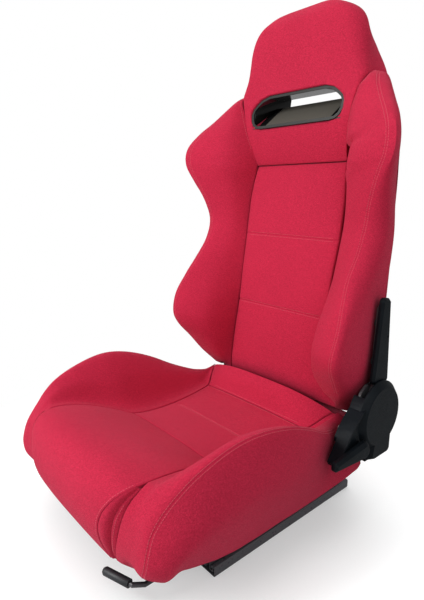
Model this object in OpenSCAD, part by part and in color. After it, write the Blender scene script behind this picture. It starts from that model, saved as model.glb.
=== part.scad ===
// Reclining bucket seat on slide rails.
// Lateral axis X with the recliner side at +X, seat faces -Y, up +Z.
// The origin is the centre of the floor bolt pattern, on the floor plane.
// Backrest pieces are drawn upright in their own frame, whose origin is the recliner axis.

/* [Rails] */
// Length of each slide rail
rail_len = 380; // [340:5:420]
// Distance between the two rails' centre lines
rail_span = 333; // [330:1:336]
// Distance between the floor bolts along a rail
bolt_pitch = 300; // [260:5:320]
// Diameter of the floor bolt holes
bolt_hole = 9; // [8:0.5:11]

/* [Recliner] */
// Distance of the recliner axis behind the rail centre
axis_y = 152; // [150:1:154]
// Height of the recliner axis over the floor
axis_z = 210; // [209:1:211]
// Lean of the backrest from upright
lean = 9; // [6:1:12]
// Outer face of the cushion at the recliner
hip_x = 236; // [235:0.5:237]

/* [Belt slot] */
// Height of the belt slot's centre over the recliner axis
slot_z = 579; // [574:1:584]
// Overall width of the slot's front bezel
slot_w = 244; // [236:2:248]
// Overall height of the slot's front bezel
slot_h = 67; // [60:1:70]

/* [Upholstery] */
// Gap left between neighbouring pads along a seam
seam_gap = 0.8; // [0.7:0.1:1]
// Rings along each bolster
rings = 22; // [20:1:26]

/* [Hidden] */
$fn = 48;

fabric = [0.78, 0.10, 0.20];
fabric_side = [0.66, 0.08, 0.17];

// ---------- smooth curves and skins ----------

// Point at place u (0 to last index) on the smooth curve through the list p
function smooth(p, u) =
    let (last = len(p) - 1, i = min(floor(u), last - 1), v = u - i,
         a = p[max(i - 1, 0)], b = p[i], c = p[i + 1], d = p[min(i + 2, last)])
    0.5 * (2 * b + (c - a) * v + (2 * a - 5 * b + 4 * c - d) * v * v + (3 * b - a - 3 * c + d) * v * v * v);

// n + 1 evenly spaced points on the smooth curve through p
function along(p, n) = [for (i = [0:n]) smooth(p, i * (len(p) - 1) / n)];

// Middle of the box round a ring of points
function middle(ring) = [for (k = [0:2]) let (v = [for (q = ring) q[k]]) (min(v) + max(v)) / 2];

// Closed solid through a stack of rings that all have the same number of points
module skin(stack) {
    n = len(stack[0]);
    m = len(stack);
    function at(i, j) = i * n + j % n;
    points = concat([for (ring = stack) for (q = ring) q], [middle(stack[0]), middle(stack[m - 1])]);
    sides = [for (i = [0:m - 2]) for (j = [0:n - 1])
        each [[at(i, j), at(i + 1, j), at(i + 1, j + 1)], [at(i, j), at(i + 1, j + 1), at(i, j + 1)]]];
    first_cap = [for (j = [0:n - 1]) [m * n, at(0, j), at(0, j + 1)]];
    last_cap = [for (j = [0:n - 1]) [m * n + 1, at(m - 1, j + 1), at(m - 1, j)]];
    polyhedron(points, concat(sides, first_cap, last_cap), convexity = 8);
}

// Places a backrest piece: drawn upright round the recliner axis, then leaned back
module on_back() translate([0, axis_y, axis_z]) rotate([-lean, 0, 0]) children();

// ---------- seat cushion ----------

cushion_floor = 79;

// Long section of the cushion's middle, from the front's lower edge over the nose to the rear edge:
// y, z of its edge, half width, and how far the middle is crowned over the edge
mid_rail = [
    [-340, 79, 118, 2], [-349, 98, 117, 3], [-358, 122, 119, 4], [-362, 147, 122, 5], [-359, 172, 130, 6],
    [-349, 197, 146, 6], [-329, 211, 158, 6], [-304, 214, 163, 6], [-275, 211, 162, 5], [-240, 203, 156, 4],
    [-205, 191, 146, 3], [-176, 180, 132, 3], [-151, 170, 119, 3], [-110, 162, 120, 4], [-60, 157, 126, 4],
    [-10, 155, 134, 4], [40, 156, 142, 4], [80, 160, 149, 4], [98, 171, 160, 14], [113, 183, 170, 25],
    [127, 192, 179, 30]
];
nose_end = 12;
insert_end = 17;
rear_end = 20;

// Inner edge of a bolster's front lobe, from the lower edge up to where it meets the nose
lobe_edge = [
    [126, -336, 79], [137, -343, 103], [145, -345, 126], [151, -343, 150], [156, -340, 170],
    [161, -332, 190], [165, -320, 205], [165, -304, 214]
];
lobe_end = 7;

// Bolster stations that match the long section: crest, fullest side and lower edge
bolster_rail = [
    [[200, -333, 84], [220, -316, 92], [222, -302, 100]],
    [[215, -344, 108], [236, -322, 112], [226, -296, 102]],
    [[221, -345, 132], [245, -315, 130], [228, -287, 101]],
    [[222, -341, 153], [249, -306, 142], [230, -276, 99]],
    [[221, -334, 172], [252, -296, 151], [231, -263, 96]],
    [[221, -325, 186], [254, -284, 159], [232, -248, 93]],
    [[223, -309, 204], [256, -268, 167], [233, -230, 89]],
    [[227, -293, 220], [258, -250, 172], [233, -211, 86]],
    [[231, -272, 236], [259, -230, 176], [234, -190, 84]],
    [[234, -245, 249], [260, -205, 180], [234, -165, 83]],
    [[236, -215, 259], [260, -178, 182], [234, -138, 82]],
    [[239, -182, 266], [260, -150, 182], [234, -112, 82]],
    [[243, -148, 268], [260, -122, 180], [234, -85, 82]],
    [[245, -110, 263], [258, -85, 176], [234, -50, 81]],
    [[244, -66, 250], [254, -45, 170], [234, -12, 81]],
    [[240, -20, 230], [246, -5, 163], [234, 28, 81]],
    [[230, 28, 204], [236, 38, 156], [234, 68, 82]],
    [[216, 72, 185], [235, 80, 150], [234, 104, 83]],
    [[209, 95, 178], [235, 104, 145], [234, 124, 85]],
    [[204, 116, 174], [234, 124, 140], [234, 142, 87]],
    [[198, 141, 180], [228, 143, 140], [232, 156, 92]]
];

// Where the wall below station u of the long section meets the cushion's floor
function floor_y(u) =
    u < nose_end ? -318 + (u / nose_end) * (318 + mid_rail[nose_end][0])
    : u < insert_end ? smooth(mid_rail, u)[0]
    : let (v = (u - insert_end) / (rear_end - insert_end)) mid_rail[insert_end][0] * (1 - v) + 142 * v;

// Outward direction of the long section at u, in Y and Z
function outward(u) =
    let (d = smooth(mid_rail, min(u + 0.05, rear_end)) - smooth(mid_rail, max(u - 0.05, 0)),
         size = norm([d[0], d[1]])) [-d[1] / size, d[0] / size];

// A strip of the cushion's middle between two places on the long section
module middle_pad(from, to, steps) {
    skin([for (k = [0:steps])
        let (u = from + (to - from) * k / steps, q = smooth(mid_rail, u), w = q[2] - seam_gap,
            out = outward(u))
        concat(
            [for (s = [-6:6]) let (e = abs(s) / 6, rise = q[3] * (1 - pow(e, 3)))
                [w * s / 6, q[0] + out[0] * rise, q[1] + out[1] * rise]],
            [[w, floor_y(u), cushion_floor], [-w, floor_y(u), cushion_floor]])]);
}

module seat_nose_pad() color(fabric) middle_pad(0, nose_end - 0.02, 22);
module seat_insert_pad() color(fabric) middle_pad(nose_end + 0.01, insert_end - 0.01, 8);
module seat_rear_pad() color(fabric) middle_pad(insert_end + 0.02, rear_end, 6);

// Cloth-covered board behind the rear pad, which closes the gap under the backrest
module cushion_tail() color(fabric) translate([0, 0, 170]) linear_extrude(13) polygon([
    [-149, 131], [178, 131], [181, 146], [206, 146], [206, 166], [202, 170], [-145, 170], [-149, 166]
]);

// Inner edge of the bolster at station u
function bolster_seam(u) =
    u < lobe_end ? smooth(lobe_edge, u) : let (q = smooth(mid_rail, u)) [q[2] + seam_gap, q[0], q[1]];

module seat_bolster() {
    skin([for (k = [0:rings])
        let (u = rear_end * k / rings, a = bolster_seam(u), q = smooth(bolster_rail, u),
             belly = (a + q[0]) / 2 + [-5, 0, 7])
        concat(
            along([a, belly, q[0], q[1], q[2]], 12),
            [[a[0], floor_y(u), cushion_floor + 1]])]);
}

module seat_bolster_right() color(fabric_side) difference() {
    seat_bolster();
    across(side_x - 0.6, side_x + 4.6) plate_slot();
    for (b = base_bolts) pin_x(side_x + 3, base_x + 4, b[0], b[1], 7.4, $fn = 16);
}

module seat_bolster_left() color(fabric_side) mirror([1, 0, 0]) difference() {
    seat_bolster();
    across(side_x - 0.6, side_x + 4.6) plate_slot();
}

// Slot in a bolster's foam for the side plate
module plate_slot() polygon([
    [-173, 40], [138, 40], [138, 154], [127, 165], [66, 169], [47, 163], [9, 123], [-41, 99], [-161, 93],
    [-173, 85]
]);

// Lens-shaped panel sewn into the valley between the nose and the bolster's front lobe
module corner_gusset() {
    skin([for (k = [0:10])
        let (u = 0.7 + 5.1 * k / 10, n = smooth(mid_rail, u), a = bolster_seam(u),
             inner = [n[2] + 2, n[0] + 1, n[1]], outer = a + [-1, 1, 0], width = outer[0] - inner[0],
             dip = (inner + outer) / 2 + [0, width * 0.18, -1])
        [inner, dip, outer, outer + [-1, 7, -2], dip + [0, 7, -2], inner + [min(4, width * 0.3), 7, -2]]]);
}

module corner_gusset_right() color(fabric) corner_gusset();
module corner_gusset_left() color(fabric) mirror([1, 0, 0]) corner_gusset();

// ---------- backrest upholstery, drawn upright round the recliner axis ----------

frame_front = 5;

// Bolster stations from the foot to the wing: height, then x and y of the seam, crest, side and rear corner
wing_rail = [
    [-14, [128, -11], [180, -15], [197, -8], [203, 4]],
    [14, [128, -15], [200, -48], [216, -28], [222, 5]],
    [48, [128, -16], [211, -82], [230, -56], [233, 5]],
    [80, [128, -16], [221, -117], [238, -86], [236, 5]],
    [109, [127, -17], [227, -131], [242, -100], [237, 5]],
    [154, [126, -17], [230, -127], [242, -94], [237, 5]],
    [200, [126, -17], [221, -111], [240, -80], [236, 5]],
    [246, [127, -16], [211, -90], [237, -62], [235, 5]],
    [294, [128, -16], [208, -67], [236, -42], [235, 5]],
    [342, [128, -15], [210, -60], [238, -36], [233, 5]],
    [387, [127, -15], [221, -75], [245, -52], [227, 5]],
    [426, [125, -15], [239, -96], [256, -76], [222, 5]],
    [463, [122, -17], [256, -110], [269, -94], [219, 5]],
    [500, [126, -28], [255, -112], [269, -95], [217, 5]],
    [535, [133, -45], [237, -99], [253, -81], [211, 5]],
    [565, [140, -55], [215, -82], [231, -62], [200, 5]],
    [595, [151, -58], [195, -65], [210, -46], [188, 5]],
    [615, [161, -52], [184, -51], [195, -32], [181, 5]],
    [631, [161, -40], [172, -37], [180, -22], [172, 5]],
    [642, [158, -27], [161, -23], [165, -12], [162, 5]]
];
wing_end = 19;

// How far the inner face of a bolster swells towards the sitter at each height, in X and Y
wing_swell_x = [[-14, 6], [14, 4], [48, -4], [109, -9], [154, -9], [200, -6], [246, -4], [600, -4],
    [636, 0.5]];
wing_swell_y = [[-14, 4], [14, 9], [48, -8], [109, -13], [154, -12], [200, -8], [246, -8], [600, -8],
    [638, -1.5]];

module back_bolster() {
    skin([for (k = [0:rings])
        let (q = smooth([for (w = wing_rail) [w[0], each w[1], each w[2], each w[3], each w[4]]],
                 wing_end * k / rings), z = q[0], a = [q[1] + seam_gap, q[2], z], b = [q[3], q[4], z],
                     c = [q[5], q[6], z],
             d = [q[7], q[8], z], belly = (a + b) / 2 + [lookup(z, wing_swell_x), lookup(z, wing_swell_y), 0])
        concat(along([a, belly, b, c, d], 14), [[a[0], frame_front, z]])]);
}

module back_bolster_right() color(fabric_side) on_back() difference() {
    back_bolster();
    translate([bracket_x - 0.6, -32, 56]) cube([5.2, 40, 136]);
    for (b = arm_bolts_at) pin_x(bracket_x - 6, arm_x + 4, b[0], b[1], 9, $fn = 16);
}

module back_bolster_left() color(fabric_side) on_back() difference() {
    mirror([1, 0, 0]) back_bolster();
    translate([-168, -18, -30]) cube([32, 30, 90]);
}

// Insert stations: height, front y, half width
insert_rail = [
    [-20, -6, 126], [-14, -11, 127], [-4, -14, 127.5], [20, -17, 128], [80, -19, 127], [157, -18, 125],
    [158, -18, 125], [237, -18, 127], [316, -16, 128], [317, -16, 128], [395, -17, 125], [462, -15, 121.5],
    [472, -11, 121]
];

module back_insert() {
    skin([for (k = [0:24])
        let (q = smooth(insert_rail, k / 2), w = q[2] - seam_gap)
        concat(
            [for (s = [-5:5]) let (e = abs(s) / 5) [w * s / 5, q[1] + 4 * pow(e, 4), q[0]]],
            [[w, frame_front, q[0]], [-w, frame_front, q[0]]])]);
}

module back_insert_pad() color(fabric) on_back() back_insert();

// Head stations: height, half width, front y, corner radius, half width at the rear, rear y
head_rail = [
    [474, 122, -18, 6, 121, 5], [500, 126, -30, 6, 125, 5], [535, 133, -46, 6, 132, 5],
    [565, 140, -53, 6, 139, 5],
    [595, 151, -56, 9, 150, 5], [618, 160, -58, 16, 162, 5], [636, 158, -60, 24, 161, 5],
    [655, 153, -63, 30, 152, 5],
    [680, 149, -67, 33, 139, 5], [705, 145, -71, 34, 126, 5], [730, 136, -74, 34, 112, -2],
    [748, 121, -74, 32, 91, -16], [761, 99, -69, 26, 69, -33], [770, 74, -62, 12, 47, -46],
    [775, 46, -56, 4, 30, -50]
];
head_last = 14;

// Half of a front outline: flat across the middle with a round corner of radius r, from the middle outwards
function rounded_front(w, front, r, z) = concat(
    [for (s = [0:2]) [(w - r) * s / 3, front, z]],
    [for (a = [0:22.5:90]) [w - r + r * sin(a), front + r - r * cos(a), z]]);

function mirrored(half) =
    concat([for (i = [len(half) - 1:-1:1]) [-half[i][0], half[i][1], half[i][2]]], half);

module back_head() {
    skin([for (k = [0:2 * head_last])
        let (q = smooth(head_rail, k / 2), z = q[0])
        concat(
            [[-q[4] + seam_gap, q[5], z]],
            mirrored(rounded_front(q[1] - seam_gap, q[2], q[3], z)),
            [[q[4] - seam_gap, q[5], z]])]);
}

module back_head_pad() color(fabric) on_back() difference() {
    back_head();
    in_front(-90, -50) slot_outline(0.6);
    slot_passage(4);
}

// Rear cover stations: height, half width at the front edge, rear corner x and y, rear y at the middle
rear_rail = [
    [6, 212, 190, 40, 54], [50, 234, 208, 47, 61], [110, 240, 212, 50, 66], [200, 237, 208, 50, 68],
    [294, 232, 202, 50, 66], [387, 225, 196, 48, 62], [463, 220, 190, 46, 58], [535, 211, 176, 44, 55],
    [595, 189, 152, 43, 52], [640, 158, 130, 38, 47], [690, 134, 112, 30, 42], [722, 116, 90, 20, 32],
    [742, 100, 70, 9, 14]
];

module back_rear_cover() color(fabric_side) on_back() difference() {
    rear_shell(7, 18);
    in_front(30, 80) rear_outline(110.6, 601.4, 650.6);
}

// Shell of the rear cover, open to the front
module rear_shell(wall, steps) {
    skin([for (k = [0:steps])
        let (q = smooth(rear_rail, 12 * k / steps), z = q[0],
             half = [[q[1], frame_front + seam_gap, z], [q[2], q[3], z], [q[2] * 0.6, q[4] - 2, z],
                 [0, q[4], z]],
             outer = along(concat(half, [for (i = [2:-1:0]) [-half[i][0], half[i][1], z]]), 18),
             share_x = 1 - wall / q[1], share_y = 1 - wall / (q[4] - frame_front),
                 edge = frame_front + seam_gap,
             inner = [for (i = [18:-1:0]) [outer[i][0] * share_x, edge + (outer[i][1] - edge) * share_y, z]])
        concat(outer, inner)]);
}

// ---------- metalwork helpers ----------

// Straight round bar between two points
module bar(a, b, r, end_r = 0) {
    d = b - a;
    translate(a) rotate([0, acos(d[2] / norm(d)), atan2(d[1], d[0])])
        cylinder(h = norm(d), r1 = r, r2 = end_r > 0 ? end_r : r);
}

function unit(v) = v / norm(v);

// Round bar bent at the points of p, mitred there; the bar stops at the last point but one
module bent_bar(p, r) skin([for (i = [0:len(p) - 2])
    let (before = unit(p[max(i, 1)] - p[max(i, 1) - 1]), after = unit(p[i + 1] - p[i]),
         plane = i == 0 ? before : unit(before + after),
         e = unit(cross(before, [0, 1, 0])), f = cross(e, before))
    [for (b = [337.5:-22.5:0]) let (q = r * (e * cos(b) + f * sin(b)))
        p[i] + q - before * (q * plane) / (before * plane)]]);

// Thickness from x0 to x1 of an outline drawn in Y and Z
module across(x0, x1) translate([x0, 0, 0]) rotate([90, 0, 90]) linear_extrude(x1 - x0) children();

// Round bar or hole along X
module pin_x(x0, x1, y, z, r) translate([x0, y, z]) rotate([0, 90, 0]) cylinder(h = x1 - x0, r = r);

// Hexagon along X, measured across its flats
module hex_x(x0, x1, y, z, flats) translate([x0, y, z]) rotate([0, 90, 0])
    cylinder(h = x1 - x0, d = flats / cos(30), $fn = 6);

// The same piece at the right and, mirrored, at the left
module both_sides() {
    children();
    mirror([1, 0, 0]) children();
}

steel_black = [0.07, 0.07, 0.08];
zinc = [0.62, 0.63, 0.66];
plastic = [0.10, 0.11, 0.13];
nylon = [0.85, 0.83, 0.76];

// ---------- slide rails ----------

rail_x = rail_span / 2;
sheet = 1.8;
lower_half = 18.5;
lower_top = 18;
lip_in = 8.5;
lip_drop = 13;
web_half = 6.5;
flange_z = 7.2;
flange_half = 13.4;
upturn_top = 14;
rail_top = 30;
ball_r = 1.6;
ball_x = 15.05;
ball_z = 11;
roller_r = 2.6;
roller_z = 4.5;

function flipped(p) = concat(p, [for (i = [len(p) - 1:-1:0]) [-p[i][0], p[i][1]]]);

module along_rail(length) translate([0, length / 2, 0]) rotate([90, 0, 0]) linear_extrude(length) children();

module lower_rail() difference() {
    along_rail(rail_len) polygon(flipped([
        [0, sheet], [lower_half - sheet, sheet], [lower_half - sheet, lower_top - sheet],
        [lip_in + sheet, lower_top - sheet], [lip_in + sheet, lip_drop], [lip_in, lip_drop],
        [lip_in, lower_top - 1.5], [lip_in + 1.5, lower_top], [lower_half - 2, lower_top],
        [lower_half, lower_top - 2], [lower_half, 1.5], [lower_half - 1.5, 0], [0, 0]]));
    for (y = [-bolt_pitch / 2, bolt_pitch / 2]) translate([0, y, -1]) cylinder(h = 6, d = bolt_hole);
    // windows that the latch teeth drop into, in the inner wall
    for (k = [-8:8]) translate([-lower_half - 1, k * 14 - 60 - 3.5, 6.5]) cube([sheet + 2, 7, 7]);
}

module upper_rail() difference() {
    along_rail(rail_len) polygon(flipped([
        [0, rail_top], [web_half - 1.5, rail_top], [web_half, rail_top - 1.5], [web_half, flange_z + sheet],
        [flange_half - sheet, flange_z + sheet], [flange_half - sheet, upturn_top], [flange_half, upturn_top],
        [flange_half, flange_z], [web_half - sheet, flange_z], [web_half - sheet, rail_top - sheet],
        [0, rail_top - sheet]]));
    for (y = [-frame_bolt_y, frame_bolt_y]) translate([0, y, 20]) cylinder(h = 20, r = 3.2);
}

module slide_cage() difference() {
    union() {
        translate([-15.4, -120, roller_z - 0.7]) cube([30.8, 240, 1.4]);
        for (x = [-15.4, 14.7]) translate([x, -120, roller_z]) cube([0.7, 240, 10.5]);
    }
    for (k = [-2:2]) translate([-8.6, k * 50 - 3, 0]) cube([17.2, 6, 10]);
    for (k = [-2:2]) translate([-25, k * 50, ball_z]) rotate([0, 90, 0]) cylinder(h = 50, r = 1.9);
}

module slide_balls() {
    for (k = [-2:2]) {
        translate([-8, k * 50, roller_z]) rotate([0, 90, 0]) cylinder(h = 16, r = roller_r);
        for (x = [-ball_x, ball_x]) translate([x, k * 50, ball_z]) sphere(ball_r);
    }
}

module at_rail(side) translate([side * rail_x, 0, 0]) mirror([side > 0 ? 0 : 1, 0, 0]) children();

module lower_rail_right() color(steel_black) at_rail(1) lower_rail();
module lower_rail_left() color(steel_black) at_rail(-1) lower_rail();
module upper_rail_right() color(steel_black) at_rail(1) upper_rail();
module upper_rail_left() color(steel_black) at_rail(-1) upper_rail();
module slide_cage_right() color(nylon) at_rail(1) slide_cage();
module slide_cage_left() color(nylon) at_rail(-1) slide_cage();
module slide_balls_right() color(zinc) at_rail(1) slide_balls();
module slide_balls_left() color(zinc) at_rail(-1) slide_balls();

// ---------- seat frame ----------

frame_bolt_y = 140;
cross_half = rail_x - 6.5;
side_x = rail_x + 15;
member_top = 64;
pan_z = 76;

module side_member() difference() {
    translate([cross_half, -172, rail_top]) cube([side_x - cross_half, 348, member_top - rail_top]);
    translate([cross_half + 2, -173, rail_top + 2])
        cube([side_x - cross_half - 4, 350, member_top - rail_top - 4]);
    for (y = [-frame_bolt_y, frame_bolt_y]) translate([rail_x, y, 20]) cylinder(h = 50, r = 3.2);
}

module side_member_right() color(steel_black) side_member();
module side_member_left() color(steel_black) mirror([1, 0, 0]) side_member();

module cross_tube(y, z, r) difference() {
    pin_x(-cross_half, cross_half, y, z, r);
    pin_x(-cross_half - 1, cross_half + 1, y, z, r - 1.8);
}

module front_cross_tube() color(steel_black) cross_tube(-150, 57.4, 7);
module rear_cross_tube() color(steel_black) cross_tube(163, 52, 11);

module seat_pan() color(steel_black) difference() {
    union() {
        translate([-side_x + 1, -300, pan_z]) cube([2 * side_x - 2, 425, 2]);
        both_sides() translate([side_x - 5, -168, member_top]) cube([2, 290, pan_z - member_top]);
    }
    for (x = [-90, 0, 90], y = [-210, -90, 30]) translate([x, y, pan_z - 1]) cylinder(h = 4, r = 24);
}

// Bolts down through the side members into round nuts welded inside the moving rails
module frame_bolts() color(zinc) both_sides() for (y = [-frame_bolt_y, frame_bolt_y])
    translate([rail_x, y, 0]) {
    translate([0, 0, 22]) cylinder(h = member_top - 22, r = 3);
    translate([0, 0, member_top]) cylinder(h = 4, d = 10 / cos(30), $fn = 6);
    difference() {
        translate([0, 0, 23]) cylinder(h = rail_top - sheet - 23, r = 4.5);
        translate([0, 0, 20]) cylinder(h = 10, r = 3);
    }
}

// ---------- slide release ----------

release_y = -60;
release_z = 49;
latch_z = 25;
latch_x = rail_x - 27.5;

module release_brackets() color(steel_black) both_sides() difference() {
    translate([cross_half - 17, release_y - 10, release_z - 10]) cube([3, 20, pan_z - release_z + 10]);
    pin_x(0, 200, release_y, release_z, 5.05);
}

// Shaft with a finger at each end that lifts the tab of a latch
module release_shaft() color(steel_black) {
    pin_x(-cross_half + 1, cross_half - 1, release_y, release_z, 5);
    both_sides() {
        translate([latch_x - 9, release_y - 27, latch_z - 8]) cube([2.5, 12, 3]);
        translate([latch_x - 9, release_y - 27, latch_z - 8]) cube([2.5, 4, release_z + 11 - latch_z]);
        translate([latch_x - 9, release_y - 27, release_z - 3]) cube([2.5, 27, 6]);
    }
}

// Bent rod from the shaft to the grip under the front of the cushion
module release_rod() color(steel_black) bent_bar([
    [154, release_y - 5, release_z - 1.4], [154, -110, 35], [153.5, -210, 35], [153, -304, 35],
    [146, -322, 40],
    [98, -338, 40], [50, -354, 40]
], 4);

module release_grip() color([0.05, 0.05, 0.06]) difference() {
    union() {
        bar([141, -323.67, 40], [95, -339, 40], 7);
        bar([95, -339, 40], [92, -340, 40], 7, 5);
    }
    bar([150, -320.67, 40], [98, -338, 40], 4);
}

module latch() difference() {
    union() {
        translate([latch_x, release_y - 24, latch_z - 4]) cube([7.4, 48, 2]);
        translate([latch_x + 5.4, release_y - 24, 8]) cube([2, 48, latch_z - 10]);
        for (k = [-1:1]) translate([latch_x + 7.3, release_y + k * 14 - 2.5, 8]) cube([1, 5, 4]);
        translate([latch_x - 9, release_y - 22, latch_z - 4]) cube([10, 10, 2]);
        translate([latch_x, release_y, latch_z]) rotate([90, 0, 0]) cylinder(h = 48, r = 4, center = true);
    }
    translate([latch_x, release_y, latch_z]) rotate([90, 0, 0]) cylinder(h = 60, r = 2.05, center = true);
}

module latch_right() color(zinc) latch();
module latch_left() color(zinc) mirror([1, 0, 0]) latch();

// Hinge pins of the two latches, riveted into tabs on the moving rails
module latch_pins() color(zinc) both_sides() {
    translate([latch_x, release_y, latch_z]) rotate([90, 0, 0]) cylinder(h = 60, r = 2, center = true);
    for (y = [-32, 28.5]) translate([latch_x - 3, release_y + y, latch_z - 3])
        cube([rail_x - web_half - latch_x + 3, 3.5, 6]);
}

// Round wire wound about X, starting at x0
module coil_x(x0, y, z, radius, pitch, turns, wire) translate([x0, y, z]) skin([for (k = [0:16 * turns])
    let (a = k * 22.5, m = [0, cos(a), sin(a)], c = [pitch * k / 16, 0, 0] + m * radius)
    [for (b = [300:-60:0]) c + m * wire * cos(b) + [wire * sin(b), 0, 0]]]);

module release_spring() color(zinc) coil_x(-126, release_y, release_z, 6.4, 2.6, 4, 0.8);

// ---------- seat side plates ----------

base_bolts = [[58, 158], [101, 156.5], [128.5, 142]];

module side_plate() across(side_x, side_x + 4)
    polygon([[-172, 42], [134, 42], [137, 60], [137, 152], [126, 164], [66, 168], [48, 162], [10, 122],
        [-40, 98],
        [-160, 92], [-172, 84]]);

module side_plate_right() color(steel_black) difference() {
    side_plate();
    for (b = base_bolts) pin_x(side_x - 1, side_x + 5, b[0], b[1], 3.05);
}
module side_plate_left() color(steel_black) mirror([1, 0, 0]) side_plate();

// ---------- recliner, right side ----------

base_x = hip_x + 2;
arm_x = base_x + 6;
arm_t = 5;
tooth_r = 46;
lever_y = 88;
lever_z = 166;
pawl_y = 124;
pawl_z = 158;
cover_screws_at = [[66, 204], [174, 140], [146, 134]];

module recliner_base() color(steel_black) difference() {
    union() {
        across(base_x, base_x + 5) polygon([
            [40, 152], [122.5, 152], [122.5, 134], [128, 129], [180, 129], [184, 134], [184, 158], [199, 178],
            [209, 200], [209, 222], [199, 245], [180, 261], [160, 268], [138, 266], [123, 257], [108, 232],
            [76, 214], [58, 192]]);
        pin_x(base_x + 5, arm_x + 6, pawl_y, pawl_z, 4);
    }
    pin_x(base_x - 1, base_x + 6, axis_y, axis_z, 6.05);
    pin_x(base_x - 1, base_x + 6, lever_y, lever_z, 5.05);
    for (b = base_bolts) pin_x(base_x - 1, base_x + 6, b[0], b[1], 3.05);
    for (b = cover_screws_at) pin_x(base_x - 1, base_x + 6, b[0], b[1], 2.05);
}

// Tubes that hold the recliner base off the side plate, through the bolster
module recliner_spacers() color(zinc) for (b = base_bolts) difference() {
    pin_x(side_x + 4, base_x, b[0], b[1], 6.5);
    pin_x(side_x, base_x + 1, b[0], b[1], 3.05);
}

// Three bolts through the spacers, and three screws that hold the cover
module recliner_fasteners() color(zinc) {
    for (b = base_bolts) {
        pin_x(side_x + 0.5, base_x + 5, b[0], b[1], 3);
        hex_x(base_x + 5, base_x + 8, b[0], b[1], 10);
    }
    for (q = cover_screws_at) {
        pin_x(base_x, base_x + 16, q[0], q[1], 2);
        pin_x(base_x - 2, base_x, q[0], q[1], 4);
    }
}

module pivot_bolt() color(zinc) {
    hex_x(base_x - 6, base_x, axis_y, axis_z, 18);
    pin_x(base_x, arm_x + arm_t + 0.3, axis_y, axis_z, 6);
    pin_x(arm_x + arm_t + 0.3, arm_x + arm_t + 7, axis_y, axis_z, 10);
}

// Toothed arm bolted to the back frame
module recliner_arm() color(steel_black) on_back() difference() {
    union() {
        across(arm_x, arm_x + arm_t) union() {
            circle(34);
            polygon(concat([[0, 0]], [for (k = [0:42])
                let (a = 170 + 2.5 * k, r = tooth_r - (k % 2 == 0 ? 0 : 2.6)) [r * cos(a), r * sin(a)]]));
            polygon([[-30, 10], [-8, 62], [-21, 100], [-33, 200], [-28, 207], [-14, 207], [-9, 200],
                [10, 102],
                [18, 66], [33, 10]]);
        }
        pin_x(arm_x + arm_t, arm_x + arm_t + 6.5, -36.5, -13.3, 2.4);
    }
    pin_x(arm_x - 1, arm_x + 6, 0, 0, 6.05);
    for (b = arm_bolts_at) pin_x(arm_x - 1, arm_x + 6, b[0], b[1], 4.05);
}

module recliner_pawl() color(zinc) difference() {
    across(arm_x + 0.2, arm_x + 4.8) union() {
        translate([pawl_y, pawl_z]) circle(7.5);
        polygon(concat([for (k = [0:8]) let (a = 196 + 2.5 * k, r = tooth_r + (k % 2 == 0 ? 0.9 : 3))
            [axis_y + r * cos(a), axis_z + r * sin(a)]], [[130, 162], [118, 153], [104, 177.6],
            [96.5, 194]]));
    }
    pin_x(arm_x - 1, arm_x + 6, pawl_y, pawl_z, 4.05);
}

module lever_shaft() color(zinc) {
    pin_x(base_x - 1, hub_x, lever_y, lever_z, 5);
    across(arm_x + 0.2, arm_x + 4.8) translate([lever_y, lever_z]) {
        circle(9);
        rotate(30) translate([0, -3.5]) square([17.5, 7]);
    }
}

module lever_spring() color(zinc) coil_x(arm_x + 6, lever_y, lever_z, 7, 1.7, 3, 0.6);

// Flat spiral that lifts the back, wound round the pivot bolt's collar
module back_spring() color(zinc) translate([arm_x + arm_t + 1, axis_y, axis_z]) skin([for (k = [0:80])
    let (a = k * 15 + 200, r = 10.2 + 22 * k / 80)
    [[5, r * cos(a), r * sin(a)], [5, (r + 1.4) * cos(a), (r + 1.4) * sin(a)],
        [0, (r + 1.4) * cos(a), (r + 1.4) * sin(a)], [0, r * cos(a), r * sin(a)]]]);

// ---------- recliner covers and lever ----------

hub_x = base_x + 19;
web_x = base_x + 22;
rim_x = base_x + 30;
face_x = base_x + 35;
disc_r = 67;

// Round stud on X with a chamfered face, used at the corners of rounded covers
module button(y, z, r, x0, x1, top, slope) translate([x0, y, z]) rotate([0, 90, 0]) {
    cylinder(h = x1 - x0, r = r, $fn = 32);
    translate([0, 0, x1 - x0]) cylinder(h = top, r1 = r, r2 = r - slope, $fn = 32);
}

// Part of a ring about the recliner axis, between two directions
module arc_wall(r0, r1, from, to, x0, x1)
    translate([x0, axis_y, axis_z]) rotate([90, 0, 90]) rotate([0, 0, from])
    rotate_extrude(angle = to - from) translate([r0, 0]) square([r1 - r0, x1 - x0]);

front_panel = [
    [21, 156], [25, 149], [30, 147], [121, 146], [121, 200], [96, 238], [89, 235], [73, 222], [59, 208],
    [34, 173]
];
front_inside = [
    [28, 160], [30, 152], [34, 150], [140, 149], [140, 200], [98, 232], [92, 231], [76, 218], [63, 205],
    [39, 171]
];

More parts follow.
